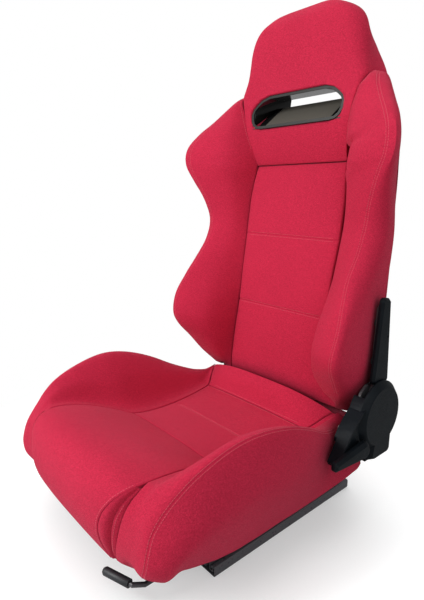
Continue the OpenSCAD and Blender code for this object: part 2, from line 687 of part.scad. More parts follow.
module recliner_cover() color(plastic) difference() {
    union() {
        // front panel: floor, rim and side walls reaching back to the cushion
        across(web_x, web_x + 2.5) polygon(front_panel);
        difference() {
            across(base_x + 0.6, rim_x) polygon(front_panel);
            across(base_x, rim_x + 1) polygon(front_inside);
            translate([base_x, 10, 140]) cube([6.5, 38, 60]);
            translate([web_x + 2.5, 45, 140]) cube([30, 120, 16]);
        }
        arc_wall(disc_r - 3.5, disc_r - 0.5, 136, 164, base_x + 0.6, web_x + 1);
        arc_wall(disc_r - 3.5, disc_r - 0.5, 306, 345, base_x + 0.6, web_x + 1);
        difference() {
            union() {
                pin_x(web_x, web_x + 2, axis_y, axis_z, disc_r);
                translate([web_x + 2, axis_y, axis_z]) rotate([0, 90, 0])
                    cylinder(h = face_x - web_x - 2, r1 = disc_r, r2 = disc_r - 11);
                hull() for (q = [[134, 138], [176, 138], [146, 190], [176, 190]])
                    button(q[0], q[1], 14, web_x, web_x + 3, face_x - web_x - 3, 6);
            }
            pin_x(web_x - 1, web_x + 2, axis_y, axis_z, disc_r - 3);
            translate([web_x + 1.9, axis_y, axis_z]) rotate([0, 90, 0])
                cylinder(h = face_x - web_x - 4.9, r1 = disc_r - 3, r2 = disc_r - 13);
            translate([web_x - 1, 126, 130]) cube([6, 57, 40]);
        }
        // skirt of the tab
        difference() {
            translate([base_x + 0.6, 119, 124.2]) cube([web_x - base_x + 1, 70.5, 34]);
            translate([base_x, 121.5, 126.8]) cube([40, 65.5, 60]);
            translate([base_x, 115, 147]) cube([40, 20, 60]);
        }
        for (q = cover_screws_at) pin_x(base_x + 5.2, web_x + (q[1] < 150 ? 5.5 : 2.5), q[0], q[1], 5);
    }
    for (q = cover_screws_at) pin_x(base_x, base_x + 18, q[0], q[1], 2.05);
    pin_x(web_x - 5, rim_x, lever_y, lever_z, 11.2);
}

module recliner_lever() color(plastic) {
    pin_x(hub_x, rim_x + 2, lever_y, lever_z, 10.5);
    hull() {
        button(lever_y - 3, lever_z, 17, rim_x + 2, rim_x + 9, 6, 6);
        button(6, 165, 9, rim_x + 2, rim_x + 8, 5, 5);
    }
}

arm_bolts_at = [[-7, 100], [-17, 174]];
arm_corners = [[-29, 213], [-18, 213], [15, 69], [-19, 67]];

module arm_cover() color(plastic) on_back() difference() {
    hull() for (q = arm_corners) button(q[0], q[1], 9, arm_x + 5.4, arm_x + 10, 4.4, 4);
    hull() for (q = arm_corners) button(q[0], q[1], 6.6, arm_x + 5, arm_x + 11, 0.6, 0.6);
    pin_x(arm_x, arm_x + 20, -3, 150, 2.5);
}

module arm_bolts() color(zinc) on_back() for (b = arm_bolts_at) {
    pin_x(bracket_x - 5, arm_x + arm_t, b[0], b[1], 4);
    hex_x(arm_x + arm_t, arm_x + arm_t + 4, b[0], b[1], 12);
}

// ---------- left hinge, inboard of the bolsters ----------

module left_bracket() color(steel_black) difference() {
    across(-158, -154) {
        translate([axis_y, axis_z]) circle(14);
        translate([163, 52]) circle(18);
        polygon([[axis_y - 12, axis_z], [axis_y + 12, axis_z], [181, 52], [145, 52]]);
    }
    pin_x(-160, -150, axis_y, axis_z, 6.05);
    pin_x(-160, -150, 163, 52, 11.05);
}

module left_ear() color(steel_black) on_back() difference() {
    across(-148, -144) {
        circle(14);
        polygon([[-12, 4], [6, 52], [36, 54], [36, 26], [11, -8]]);
    }
    pin_x(-150, -140, 0, 0, 6);
    pin_x(-150, -140, frame_y, low_bar, 7.05);
}

module left_pivot_bolt() color(zinc) on_back() {
    hex_x(-164, -158.3, 0, 0, 18);
    pin_x(-158.3, -153.7, 0, 0, 6);
    pin_x(-153.7, -148, 0, 0, 9);
    pin_x(-148, -144, 0, 0, 6);
    hex_x(-144, -139, 0, 0, 18);
}

// ---------- back frame ----------

frame_y = 22;
frame_r = 9;
low_bar = 40;
bracket_x = 204;

side_path = [[195, 32], [195, 200], [181, 430], [136, 552], [122, 634], [90, 666]];

module side_tube() difference() {
    bent_bar([for (q = concat(side_path, [[0, 666]])) [q[0], frame_y, q[1]]], frame_r);
    translate([-110, frame_y - 20, 600]) cube([200, 40, 100]);
}

module back_side_tube_right() color(steel_black) on_back() side_tube();
module back_side_tube_left() color(steel_black) on_back() mirror([1, 0, 0]) side_tube();
module back_top_tube() color(steel_black) on_back() pin_x(-90, 90, frame_y, 666, frame_r);

// Cross bars, their ends shaped to the side tubes
module back_cross_bars() color(steel_black) on_back() difference() {
    for (q = [[low_bar, 195], [300, 188], [500, 156]]) pin_x(-q[1], q[1], frame_y, q[0], 7);
    both_sides() for (i = [0:2]) let (p = side_path[i], q = side_path[i + 1])
        bar([p[0], frame_y, p[1]], [q[0], frame_y, q[1]], frame_r);
}

// Zigzag wires that carry the padding, laid over the front of the frame
module back_wires() color(zinc) on_back() for (h = [130, 230, 390]) {
    path = concat([[-186, h]], [for (k = [-5:5]) let (d = k % 2 == 0 ? 14 : -14)
        each [[k * 30 - 13, h - d * 0.7], [k * 30 - 9, h - d], [k * 30 + 9, h - d],
            [k * 30 + 13, h - d * 0.7]]],
        [[186, h]]);
    skin([for (i = [0:len(path) - 1])
        let (p = path[i], d = path[min(i + 1, len(path) - 1)] - path[max(i - 1, 0)],
             n = [-d[1], d[0]] / norm(d) * 1.8)
        [for (b = [288:-72:0])
            [p[0] + n[0] * cos(b), frame_y - frame_r - 2 + 1.8 * sin(b), p[1] + n[1] * cos(b)]]]);
}

module back_side_bracket() color(steel_black) on_back() difference() {
    union() {
        across(bracket_x, bracket_x + 4)
            polygon([[-18, 84], [-30, 160], [-26, 188], [-8, 190], [30, 170], [30, 60], [12, 60]]);
        for (b = arm_bolts_at) pin_x(bracket_x + 4, arm_x, b[0], b[1], 8);
    }
    for (b = arm_bolts_at) pin_x(bracket_x - 1, arm_x + 6, b[0], b[1], 4.05);
}

// ---------- belt slot ----------

slot_half = slot_w / 2;
slot_top = slot_z + slot_h / 2 + 1;
slot_low = slot_z - slot_h / 2;

// Front outline of the slot, grown by g
module slot_outline(g) polygon([for (s = [-1, 1]) each [for (q = s < 0 ? slot_points : slot_back_points)
    [s * (q[0] + g * q[2]), q[1] + g * q[3]]]]);

// Half outline from the lower middle to the upper middle: x, z and the way it grows
slot_points = [
    [slot_half - 30, slot_low, 0.3, -1], [slot_half - 17, slot_low + 2, 0.6, -0.8],
    [slot_half - 7, slot_low + 9, 0.8, -0.6], [slot_half - 1.5, slot_low + 20, 1, -0.2],
    [slot_half, slot_z, 1, 0],
    [slot_half - 4, slot_z + 10, 0.9, 0.4], [slot_half - 13, slot_top - 16, 0.8, 0.6],
    [slot_half - 27, slot_top - 6, 0.5, 0.9], [slot_half - 49, slot_top, 0.2, 1]
];
slot_back_points = [for (i = [len(slot_points) - 1:-1:0]) slot_points[i]];

// Passage for the belts: wide at the front, over a crest, and out through the rear; grown by g
module slot_passage(g) intersection() {
    translate([0, 0, 500]) linear_extrude(200) polygon([
        [-slot_half + 8 - g, -51.5 - g], [slot_half - 8 + g, -51.5 - g],
        [slot_half - 20 + g, 56 + g], [-slot_half + 20 - g, 56 + g]]);
    across(-200, 200) polygon([
        [-51.5 - g, slot_low + 3.5 - g], [-46, slot_low + 5.5 - g], [8 + g * 0.6, slot_top - 7.5 - g],
        [56 + g, slot_top - 1.5 - g], [56 + g, slot_top + 26 + g], [-51.5 - g, slot_top - 5.5 + g]]);
}

// Thickness from y0 to y1 of an outline drawn in X and Z
module in_front(y0, y1) translate([0, y1, 0]) rotate([90, 0, 0]) linear_extrude(y1 - y0) children();

module belt_bezel_front() color(plastic) on_back() difference() {
    union() {
        in_front(-53.5, -50.5) slot_outline(0);
        intersection() {
            slot_passage(3);
            translate([-200, -51, 400]) cube([400, 101, 400]);
        }
    }
    slot_passage(0);
    in_front(-60, -50) slot_outline(-6);
}

module belt_bezel_rear() color(plastic) on_back() difference() {
    in_front(46, 55) rear_outline(110, 602, 650);
    slot_passage(3.4);
}

module rear_outline(w, z0, z1) polygon([
    [-w, z0 + 8], [-w + 8, z0], [w - 8, z0], [w, z0 + 8], [w, z1 - 8], [w - 8, z1], [-w + 8, z1], [-w, z1 - 8]
]);

seat_nose_pad();
seat_insert_pad();
seat_rear_pad();
cushion_tail();
seat_bolster_right();
seat_bolster_left();
corner_gusset_right();
corner_gusset_left();
back_bolster_right();
back_bolster_left();
back_insert_pad();
back_head_pad();
back_rear_cover();
lower_rail_right();
lower_rail_left();
upper_rail_right();
upper_rail_left();
slide_cage_right();
slide_cage_left();
slide_balls_right();
slide_balls_left();
side_member_right();
side_member_left();
front_cross_tube();
rear_cross_tube();
seat_pan();
frame_bolts();
release_brackets();
release_shaft();
release_rod();
release_grip();
latch_right();
latch_left();
latch_pins();
release_spring();
side_plate_right();
side_plate_left();
recliner_base();
recliner_spacers();
recliner_fasteners();
pivot_bolt();
recliner_arm();
recliner_pawl();
lever_shaft();
lever_spring();
back_spring();
recliner_cover();
recliner_lever();
arm_cover();
arm_bolts();
left_bracket();
left_ear();
left_pivot_bolt();
back_side_tube_right();
back_side_tube_left();
back_top_tube();
back_cross_bars();
back_wires();
back_side_bracket();
belt_bezel_front();
belt_bezel_rear();
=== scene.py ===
import math

import bpy
import numpy as np
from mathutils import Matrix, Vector
from mathutils.bvhtree import BVHTree


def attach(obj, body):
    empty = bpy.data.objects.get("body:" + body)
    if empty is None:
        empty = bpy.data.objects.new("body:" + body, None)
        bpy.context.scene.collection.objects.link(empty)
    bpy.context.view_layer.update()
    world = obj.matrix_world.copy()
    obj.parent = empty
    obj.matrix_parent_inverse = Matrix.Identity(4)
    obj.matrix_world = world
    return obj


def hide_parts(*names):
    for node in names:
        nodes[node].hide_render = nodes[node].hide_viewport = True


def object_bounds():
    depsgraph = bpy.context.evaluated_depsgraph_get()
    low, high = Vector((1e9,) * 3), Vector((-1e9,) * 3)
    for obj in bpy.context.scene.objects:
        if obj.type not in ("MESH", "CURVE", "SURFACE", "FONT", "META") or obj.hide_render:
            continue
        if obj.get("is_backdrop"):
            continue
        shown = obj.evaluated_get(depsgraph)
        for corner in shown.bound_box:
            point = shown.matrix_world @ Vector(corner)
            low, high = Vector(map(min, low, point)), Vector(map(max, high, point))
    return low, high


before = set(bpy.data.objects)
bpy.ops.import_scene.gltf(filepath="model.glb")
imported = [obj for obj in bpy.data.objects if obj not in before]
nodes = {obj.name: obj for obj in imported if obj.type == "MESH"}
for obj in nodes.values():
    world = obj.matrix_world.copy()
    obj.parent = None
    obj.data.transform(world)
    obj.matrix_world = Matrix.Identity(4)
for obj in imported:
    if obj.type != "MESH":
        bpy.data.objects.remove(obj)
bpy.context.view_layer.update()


# ---------- slide rails ----------
# Two lower channels of folded 1.8 mm steel that bolt to the floor, and two upper rails that run in them.
# They are painted satin black, and the paint is rubbed paler along the edges.
def new_finish(name):
    """A material, its node tree, and its shader."""
    mat = bpy.data.materials.new(name)
    mat.use_nodes = True
    return mat, mat.node_tree, mat.node_tree.nodes["Principled BSDF"]


def feed(tree, socket, value):
    """Links an output to a socket, or sets the socket to a plain value."""
    if isinstance(value, bpy.types.NodeSocket):
        tree.links.new(value, socket)
    else:
        socket.default_value = value


def add(tree, kind, *fed, **values):
    """A node of this kind. Named values go to its settings or sockets, and fed to its sockets in order."""
    made = tree.nodes.new("ShaderNode" + kind)
    for key, value in values.items():
        if key in made.inputs:
            feed(tree, made.inputs[key], value)
        else:
            setattr(made, key, value)
    for socket, value in zip(made.inputs, fed):
        feed(tree, socket, value)
    return made


def grain(tree, scale, detail=2.0):
    """Noise in the piece's own space, which is the frame's, in metres."""
    place = add(tree, "TexCoord").outputs["Object"]
    return add(tree, "TexNoise", Vector=place, Scale=scale, Detail=detail).outputs["Fac"]


def ramp(tree, fac, stops):
    """Colours or greys at places from 0 to 1 along fac."""
    made = add(tree, "ValToRGB", fac)
    band = made.color_ramp
    while len(band.elements) < len(stops):
        band.elements.new(0.5)
    for element, (place, colour) in zip(band.elements, stops):
        element.position = place
        element.color = (*colour, 1) if isinstance(colour, tuple) else (colour, colour, colour, 1)
    return made.outputs["Color"]


def mottled(tree, socket, scale, low, high, detail=2.0):
    """Feeds a socket with clouds between two colours or two greys."""
    feed(tree, socket, ramp(tree, grain(tree, scale, detail), [(0.3, low), (0.7, high)]))


def mixed(tree, factor, a, b, blend="MIX"):
    """Colour a with colour b laid over it by factor."""
    return add(tree, "Mix", data_type="RGBA", blend_type=blend, Factor=factor, A=a, B=b).outputs["Result"]


def bump(tree, shader, height, distance, strength=1.0):
    """Raises the surface by height, at most by distance in metres."""
    made = add(tree, "Bump", Height=height, Strength=strength, Distance=distance)
    tree.links.new(made.outputs["Normal"], shader.inputs["Normal"])
    return made


def metal_finish(name, dark, pale, rough, metallic, speckle, wear=None):
    """Painted or plated steel: clouds in the colour, fine roughness and, with wear, paler rubbed edges."""
    mat, tree, shader = new_finish(name)
    shader.inputs["Metallic"].default_value = metallic
    colour = ramp(tree, grain(tree, 30), [(0.3, dark), (0.75, pale)])
    if wear:
        edge = add(tree, "NewGeometry").outputs["Pointiness"]
        colour = mixed(tree, ramp(tree, edge, [(0.53, 0), (0.62, 1)]), colour, (*wear, 1))
    feed(tree, shader.inputs["Base Color"], colour)
    mottled(tree, shader.inputs["Roughness"], 180, rough - 0.08, rough + 0.1, 4)
    bump(tree, shader, grain(tree, speckle, 3), 0.00006)
    return mat


def dress(names, mat, bevel=0.0, angle=35):
    """Gives CAD nodes a finish and, where bevel is set, small rounded edges."""
    for name in names:
        piece = nodes[name]
        piece.data.materials.clear()
        piece.data.materials.append(mat)
        if bevel:
            weld = piece.modifiers.new("weld", "WELD")
            weld.merge_threshold = 0.000005
            edge = piece.modifiers.new("edge", "BEVEL")
            edge.width = bevel
            edge.segments = 2
            edge.limit_method = "ANGLE"
            edge.angle_limit = math.radians(angle)
            edge.harden_normals = True


rail_paint = metal_finish("rail_paint", (0.006, 0.006, 0.007), (0.012, 0.012, 0.014), 0.32, 0.0, 900,
                          (0.09, 0.09, 0.10))
dress(["lower_rail_right", "lower_rail_left", "upper_rail_right", "upper_rail_left"], rail_paint)


# ---------- slide cages, balls and rollers ----------
# Each slide runs on ten steel balls and five rollers, spaced by a cage of moulded natural nylon.
# The nylon is slightly yellow. The balls are bright.
nylon, tree, shader = new_finish("cage_nylon")
mottled(tree, shader.inputs["Base Color"], 60, (0.52, 0.48, 0.38), (0.66, 0.62, 0.52))
shader.inputs["Roughness"].default_value = 0.45
shader.inputs["Subsurface Weight"].default_value = 0.1
bump(tree, shader, grain(tree, 700), 0.00005)
dress(["slide_cage_right", "slide_cage_left"], nylon)
ball_steel = metal_finish("ball_steel", (0.52, 0.53, 0.55), (0.66, 0.67, 0.70), 0.18, 1.0, 1200)
dress(["slide_balls_right", "slide_balls_left"], ball_steel)


# ---------- seat frame ----------
# Box section side members, two cross tubes, a pressed pan and two side plates, all of them welded up.
# The whole frame is dipped in black paint, duller than the rails.
frame_paint = metal_finish("frame_paint", (0.012, 0.012, 0.014), (0.026, 0.026, 0.029), 0.46, 0.0, 500,
                           (0.07, 0.07, 0.075))
dress(["side_member_right", "side_member_left", "front_cross_tube", "rear_cross_tube", "seat_pan",
       "side_plate_right", "side_plate_left", "release_brackets", "recliner_base", "left_bracket"],
      frame_paint)


# ---------- bolts, spacers and small turned parts ----------
# Screws, bolts, spacers, pins and the pawl are zinc plated steel.
# The plating is a cloudy greyish silver.
zinc = metal_finish("zinc_plate", (0.36, 0.37, 0.38), (0.60, 0.60, 0.62), 0.36, 1.0, 800)
dress(["frame_bolts", "latch_pins", "latch_right", "latch_left", "recliner_spacers", "recliner_fasteners",
       "pivot_bolt", "recliner_pawl", "lever_shaft", "arm_bolts", "left_pivot_bolt"], zinc)


# ---------- springs ----------
# The release spring, lever spring and flat spiral are oiled spring steel, dark blue-grey from hardening.
# The zigzag wires behind the back pad are the same steel.
spring_steel = metal_finish("spring_steel", (0.10, 0.10, 0.12), (0.20, 0.20, 0.22), 0.32, 1.0, 1500)
dress(["release_spring", "lever_spring", "back_spring", "back_wires"], spring_steel)


# ---------- slide release bar ----------
# A bent 8 mm rod runs from the cross shaft to the front of the cushion, painted like the rails.
# Its end carries a pushed-on rubber grip with a bevelled tip.
dress(["release_shaft", "release_rod"], rail_paint)
rubber, tree, shader = new_finish("grip_rubber")
mottled(tree, shader.inputs["Base Color"], 90, (0.013, 0.014, 0.017), (0.023, 0.025, 0.030))
mottled(tree, shader.inputs["Roughness"], 400, 0.42, 0.58)
bump(tree, shader, grain(tree, 1800, 3), 0.0001)
dress(["release_grip"], rubber, bevel=0.0012)


# ---------- cushion: nose, insert and rear pads ----------
# Foam covered with knitted red cloth, sewn from three panels along the middle of the cushion.
# The cloth rolls into each seam, and a faint double row of stitches crosses the insert.
SEAM_GAP = 0.35
SEAM_ROLL = 3.2
ROLL_STEPS = np.array([0, 0.06, 0.2, 0.42, 0.7, 1.0])
CLOTH_STEP = 9
CUSHION_FLOOR = 79.4
NOSE_FOOT, REAR_FOOT = -318, 142
NOSE_END, INSERT_END, REAR_END = 12, 17, 20
# y and z of the middle's edge, its half width, and how far the middle is crowned over that edge
cushion_line = np.array([
    (-340, 79, 118, 2), (-349, 98, 117, 3), (-358, 122, 119, 4), (-362, 147, 122, 5), (-359, 172, 130, 6),
    (-349, 197, 146, 6), (-329, 211, 158, 6), (-304, 214, 163, 6), (-275, 211, 162, 5), (-240, 203, 156, 4),
    (-205, 191, 146, 3), (-176, 180, 132, 3), (-151, 170, 119, 3), (-110, 162, 120, 4), (-60, 157, 126, 4),
    (-10, 155, 134, 4), (40, 156, 142, 4), (80, 160, 149, 4), (98, 171, 160, 14), (113, 183, 170, 25),
    (127, 192, 179, 30)], float)


def smooth(p, u):
    """Point at place u (0 to the last index) on the smooth curve through the rows of p."""
    last = len(p) - 1
    i = min(int(u), last - 1)
    v = u - i
    a, b, c, d = p[max(i - 1, 0)], p[i], p[i + 1], p[min(i + 2, last)]
    bent = 2 * b + (c - a) * v + (2 * a - 5 * b + 4 * c - d) * v * v
    return 0.5 * (bent + (3 * b - a - 3 * c + d) * v ** 3)


def run_along(line):
    """Distance along a line of points to each of them."""
    return np.concatenate([[0], np.cumsum(np.linalg.norm(np.diff(line, axis=0), axis=1))])


def rolled(distance, radius):
    """How far the cloth has dropped at this distance from a seam, where it rolls in round radius."""
    near = np.clip(radius - np.asarray(distance, float), 0, radius)
    return radius - np.sqrt(np.maximum(radius ** 2 - near ** 2, 0))


def seam_places(length):
    """Distances along a line that has a rolled edge at each end: close together in the rolls."""
    roll = min(SEAM_ROLL, length * 0.3)
    edge = roll * ROLL_STEPS
    count = max(int(round((length - 2 * roll) / CLOTH_STEP)), 2)
    between_rolls = np.linspace(roll, length - roll, count + 1)[1:-1]
    return np.concatenate([edge, between_rolls, length - edge[::-1]])


def skin(name, rings, mat, body, stands_for=()):
    """A smooth closed mesh through a stack of rings, in millimetres, with cloth laid along it as UVs."""
    rings = np.asarray(rings, float) / 1000
    count, around = rings.shape[:2]
    first, last, end = count * around, count * around + 1, (count - 1) * around
    verts = [tuple(v) for ring in rings for v in ring] + [tuple(rings[0].mean(0)), tuple(rings[-1].mean(0))]
    faces = []
    for i in range(0, end, around):
        for j in range(around):
            k = (j + 1) % around
            faces.append((i + j, i + k, i + around + k, i + around + j))
    faces += [(first, (j + 1) % around, j) for j in range(around)]
    faces += [(last, end + j, end + (j + 1) % around) for j in range(around)]
    mesh = bpy.data.meshes.new(name)
    mesh.from_pydata(verts, [], faces)
    across = np.cumsum(np.linalg.norm(np.diff(rings, axis=1), axis=2), 1)
    across = np.concatenate([np.zeros((count, 1)), across], 1)
    across -= across[:, around // 2][:, None]
    along = np.repeat(run_along(rings[:, around // 2])[:, None], around, 1)
    flat = np.concatenate([np.stack([across, along], 2).reshape(-1, 2), np.zeros((2, 2))])
    layer = mesh.uv_layers.new(name="cloth")
    loops = np.zeros(len(mesh.loops), np.int32)
    mesh.loops.foreach_get("vertex_index", loops)
    layer.data.foreach_set("uv", flat[loops].astype(np.float32).ravel())
    mesh.validate()
    mesh.materials.append(mat)
    piece = bpy.data.objects.new(name, mesh)
    bpy.context.scene.collection.objects.link(piece)
    corners = [[mesh.vertices[k].co for k in face.vertices[:3]] for face in mesh.polygons]
    if sum(a.dot(b.cross(c)) for a, b, c in corners) < 0:
        mesh.flip_normals()
    mesh.polygons.foreach_set("use_smooth", [True] * len(mesh.polygons))
    mesh.set_sharp_from_angle(angle=math.radians(60))
    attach(piece, body)
    if stands_for:
        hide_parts(*stands_for)
    return piece


def between(tree, value, low, high, to_low=0.0, to_high=1.0):
    """Value stretched so that low to high becomes to_low to to_high, and held at both ends."""
    ends = {"From Min": low, "From Max": high, "To Min": to_low, "To Max": to_high}
    return add(tree, "MapRange", Value=value, **ends).outputs["Result"]


def cloth_finish(name, dark, mid, lit):
    """Red double knit: fine ribs and loops, heathered yarn, painted shade darkening its creases, and a soft
    pink sheen seen edge on.
    """
    mat, tree, shader = new_finish(name)
    split = add(tree, "SeparateXYZ", add(tree, "TexCoord").outputs["UV"])

    def wave(output, count, shift=0.0):
        turn = add(tree, "Math", output, count * math.tau, shift, operation="MULTIPLY_ADD")
        return add(tree, "Math", turn.outputs[0], operation="SINE").outputs[0]

    ribs = wave(split.outputs[0], 620)
    loops = wave(split.outputs[1], 540, ribs)
    knit = add(tree, "Math", ribs, loops, 0.0, operation="MULTIPLY_ADD").outputs[0]
    yarn = ramp(tree, grain(tree, 1400, 3), [(0.35, dark), (0.5, mid), (0.68, lit)])
    clouds = ramp(tree, grain(tree, 9, 4), [(0.3, 0.93), (0.7, 1.0)])
    fleck = ramp(tree, grain(tree, 380, 3), [(0.32, 0.80), (0.68, 1.0)])
    tint = mixed(tree, 1.0, yarn, mixed(tree, 1.0, clouds, fleck, "MULTIPLY"), "MULTIPLY")
    # Painted shade: the yarn colour is darkened to as little as 0.42 in creases, seams and grooves, wherever
    # ambient occlusion finds other surfaces within 7 cm.
    ao_for_painted_shade = add(tree, "AmbientOcclusion", samples=6, Distance=0.07).outputs["AO"]
    painted_crease_shade = between(tree, ao_for_painted_shade, 0.15, 0.75, 0.42, 1.0)
    knit_with_painted_shade = add(tree, "VectorMath", tint, operation="SCALE", Scale=painted_crease_shade).outputs["Vector"]
    feed(tree, shader.inputs["Base Color"], knit_with_painted_shade)
    shader.inputs["Roughness"].default_value = 0.86
    shader.inputs["Specular IOR Level"].default_value = 0.08
    shader.inputs["Sheen Weight"].default_value = 0.20
    shader.inputs["Sheen Roughness"].default_value = 0.34
    shader.inputs["Sheen Tint"].default_value = (1.0, 0.36, 0.48, 1)
    weave = bump(tree, shader, knit, 0.00022, 0.8)
    folds = add(tree, "Bump", Height=grain(tree, 22, 3), Strength=0.5, Distance=0.0016)
    tree.links.new(folds.outputs["Normal"], weave.inputs["Normal"])
    return mat


cloth = cloth_finish("red_knit", (0.46, 0.014, 0.044), (0.64, 0.025, 0.070), (0.80, 0.042, 0.102))


def wall_foot(u):
    """Where the pad's wall below place u of the cushion's line meets the pan."""
    if u < NOSE_END:
        return NOSE_FOOT + (u / NOSE_END) * (-NOSE_FOOT + cushion_line[NOSE_END][0])
    if u < INSERT_END:
        return smooth(cushion_line, u)[0]
    v = (u - INSERT_END) / (REAR_END - INSERT_END)
    return cushion_line[INSERT_END][0] * (1 - v) + REAR_FOOT * v


def outward(u):
    """Direction out of the cushion's middle at place u."""
    d = smooth(cushion_line, min(u + 0.05, REAR_END)) - smooth(cushion_line, max(u - 0.05, 0))
    return np.array([0, -d[1], d[0]]) / math.hypot(d[0], d[1])


def cushion_panel(name, node, first, last, sewn_ends, grooves=(), roll=SEAM_ROLL):
    """One panel of the cushion's middle, rolled in at both sides and at the sewn ends."""
    us = np.linspace(first, last, 401)
    run = run_along(np.array([smooth(cushion_line, u)[:2] for u in us]))
    length = run[-1]
    places = seam_places(length)
    for g in grooves:
        places = np.sort(np.concatenate([places, g * length + np.array([-4, -1.6, 0, 1.6, 4])]))
    first_half = smooth(cushion_line, first)[2] - SEAM_GAP
    spread = (seam_places(2 * first_half) - first_half) / first_half
    rings = []
    for s in places:
        u = float(np.interp(s, run, us))
        y, z, half, crown = smooth(cushion_line, u)
        out = outward(u)
        w = half - SEAM_GAP
        x = spread * w
        drop = rolled(np.minimum(x + w, w - x) * first_half / w, roll)
        if sewn_ends[0]:
            drop = np.maximum(drop, rolled(s, SEAM_ROLL))
        if sewn_ends[1]:
            drop = np.maximum(drop, rolled(length - s, SEAM_ROLL))
        for g in grooves:
            drop = drop + 1.3 * math.exp(-((s - g * length) / 1.7) ** 2)
        rise = crown * (1 - np.abs(x / w) ** 3) - drop
        top = np.stack([x, y + out[1] * rise, z + out[2] * rise], 1)
        foot = wall_foot(u)
        rings.append(np.concatenate([top, [[w, foot, CUSHION_FLOOR], [-w, foot, CUSHION_FLOOR]]]))
    return skin(name, rings, cloth, "seat_frame", [node])


nose = cushion_panel("nose_panel", "seat_nose_pad", 0, NOSE_END - 0.006, (False, True), roll=1.8)
insert = cushion_panel("insert_panel", "seat_insert_pad", NOSE_END + 0.006, INSERT_END - 0.006, (True, True),
                       grooves=(0.5,))
rear = cushion_panel("rear_panel", "seat_rear_pad", INSERT_END + 0.01, REAR_END, (True, False))


# ---------- cushion: tail ----------
# A board behind the rear panel, wrapped in the same cloth, that closes the gap under the backrest.
# Its front edge is stapled to the pan below the rear panel.
TAIL_LOW, TAIL_HIGH, TAIL_BACK = 170, 183, 170
tail_rings = []
for x, inset in [(-148.6, 2.4), (-148, 1), (-146, 0.2), (-120, 0.2), (0, 0.2), (120, 0.2), (176, 0.2),
                 (180, 0.2), (203, 0.2), (205, 1), (205.6, 2.4)]:
    front = 131.4 if x < 177 else 146
    low, high, back = TAIL_LOW + inset, TAIL_HIGH - inset, TAIL_BACK - inset
    edge = [(front, low), (back - 3, low), (back - 1, low + 1), (back, low + 3),
            (back, high - 3), (back - 1, high - 1), (back - 3, high), (front, high)]
    tail_rings.append([(x, y, z) for y, z in edge])
skin("tail_board_cover", tail_rings, cloth, "seat_frame", ["cushion_tail"])


# ---------- cushion: side bolsters ----------
# High foam bolsters down both sides of the cushion, in the same cloth.
# A top-stitched seam runs along the crest from the front lobe back to the recliner.
lobe_edge = np.array([
    (126, -336, 79), (137, -343, 103), (145, -345, 126), (151, -343, 150), (156, -340, 170),
    (161, -332, 190), (165, -320, 205), (165, -304, 214)], float)
LOBE_END = 7
# crest, fullest side and lower edge at each place of the cushion's line
bolster_line = np.array([
    (196, -328, 90, 218, -312, 89, 222, -298, 96), (212, -343, 111, 236, -320, 110, 226, -294, 100),
    (221, -345, 132, 245, -315, 130, 228, -287, 101), (222, -341, 153, 249, -306, 142, 230, -276, 99),
    (221, -334, 172, 252, -296, 151, 231, -263, 96), (221, -325, 186, 254, -284, 159, 232, -248, 93),
    (223, -309, 204, 256, -268, 167, 233, -230, 89), (227, -293, 220, 258, -250, 172, 233, -211, 86),
    (231, -272, 236, 259, -230, 176, 234, -190, 84), (234, -245, 249, 260, -205, 180, 234, -165, 83),
    (236, -215, 259, 260, -178, 182, 234, -138, 82), (239, -182, 266, 260, -150, 182, 234, -112, 82),
    (243, -148, 268, 260, -122, 180, 234, -85, 82), (245, -110, 263, 258, -85, 176, 234, -50, 81),
    (244, -66, 250, 254, -45, 170, 234, -12, 81), (240, -20, 230, 246, -5, 163, 234, 28, 81),
    (230, 28, 204, 236, 38, 156, 234, 68, 82), (216, 72, 185, 235, 80, 150, 234, 104, 83),
    (209, 95, 178, 235, 104, 145, 234, 124, 85), (204, 116, 174, 234, 124, 140, 234, 142, 87),
    (198, 141, 180, 228, 143, 140, 232, 156, 92)], float)


def bolster_seam(u):
    """Inner edge of the bolster at place u: along the front lobe, then along the middle panels."""
    if u < LOBE_END:
        return smooth(lobe_edge, u)
    q = smooth(cushion_line, u)
    return np.array([q[2] + SEAM_GAP, q[0], q[1]])


def dense(points, steps=160):
    """Closely spaced points on the smooth curve through a few points."""
    p = np.asarray(points, float)
    return np.array([smooth(p, u) for u in np.linspace(0, len(p) - 1, steps + 1)])


def at_lengths(line, wanted):
    """Points at these distances along a line of points."""
    run = run_along(line)
    return np.stack([np.interp(wanted, run, line[:, k]) for k in range(3)], 1)


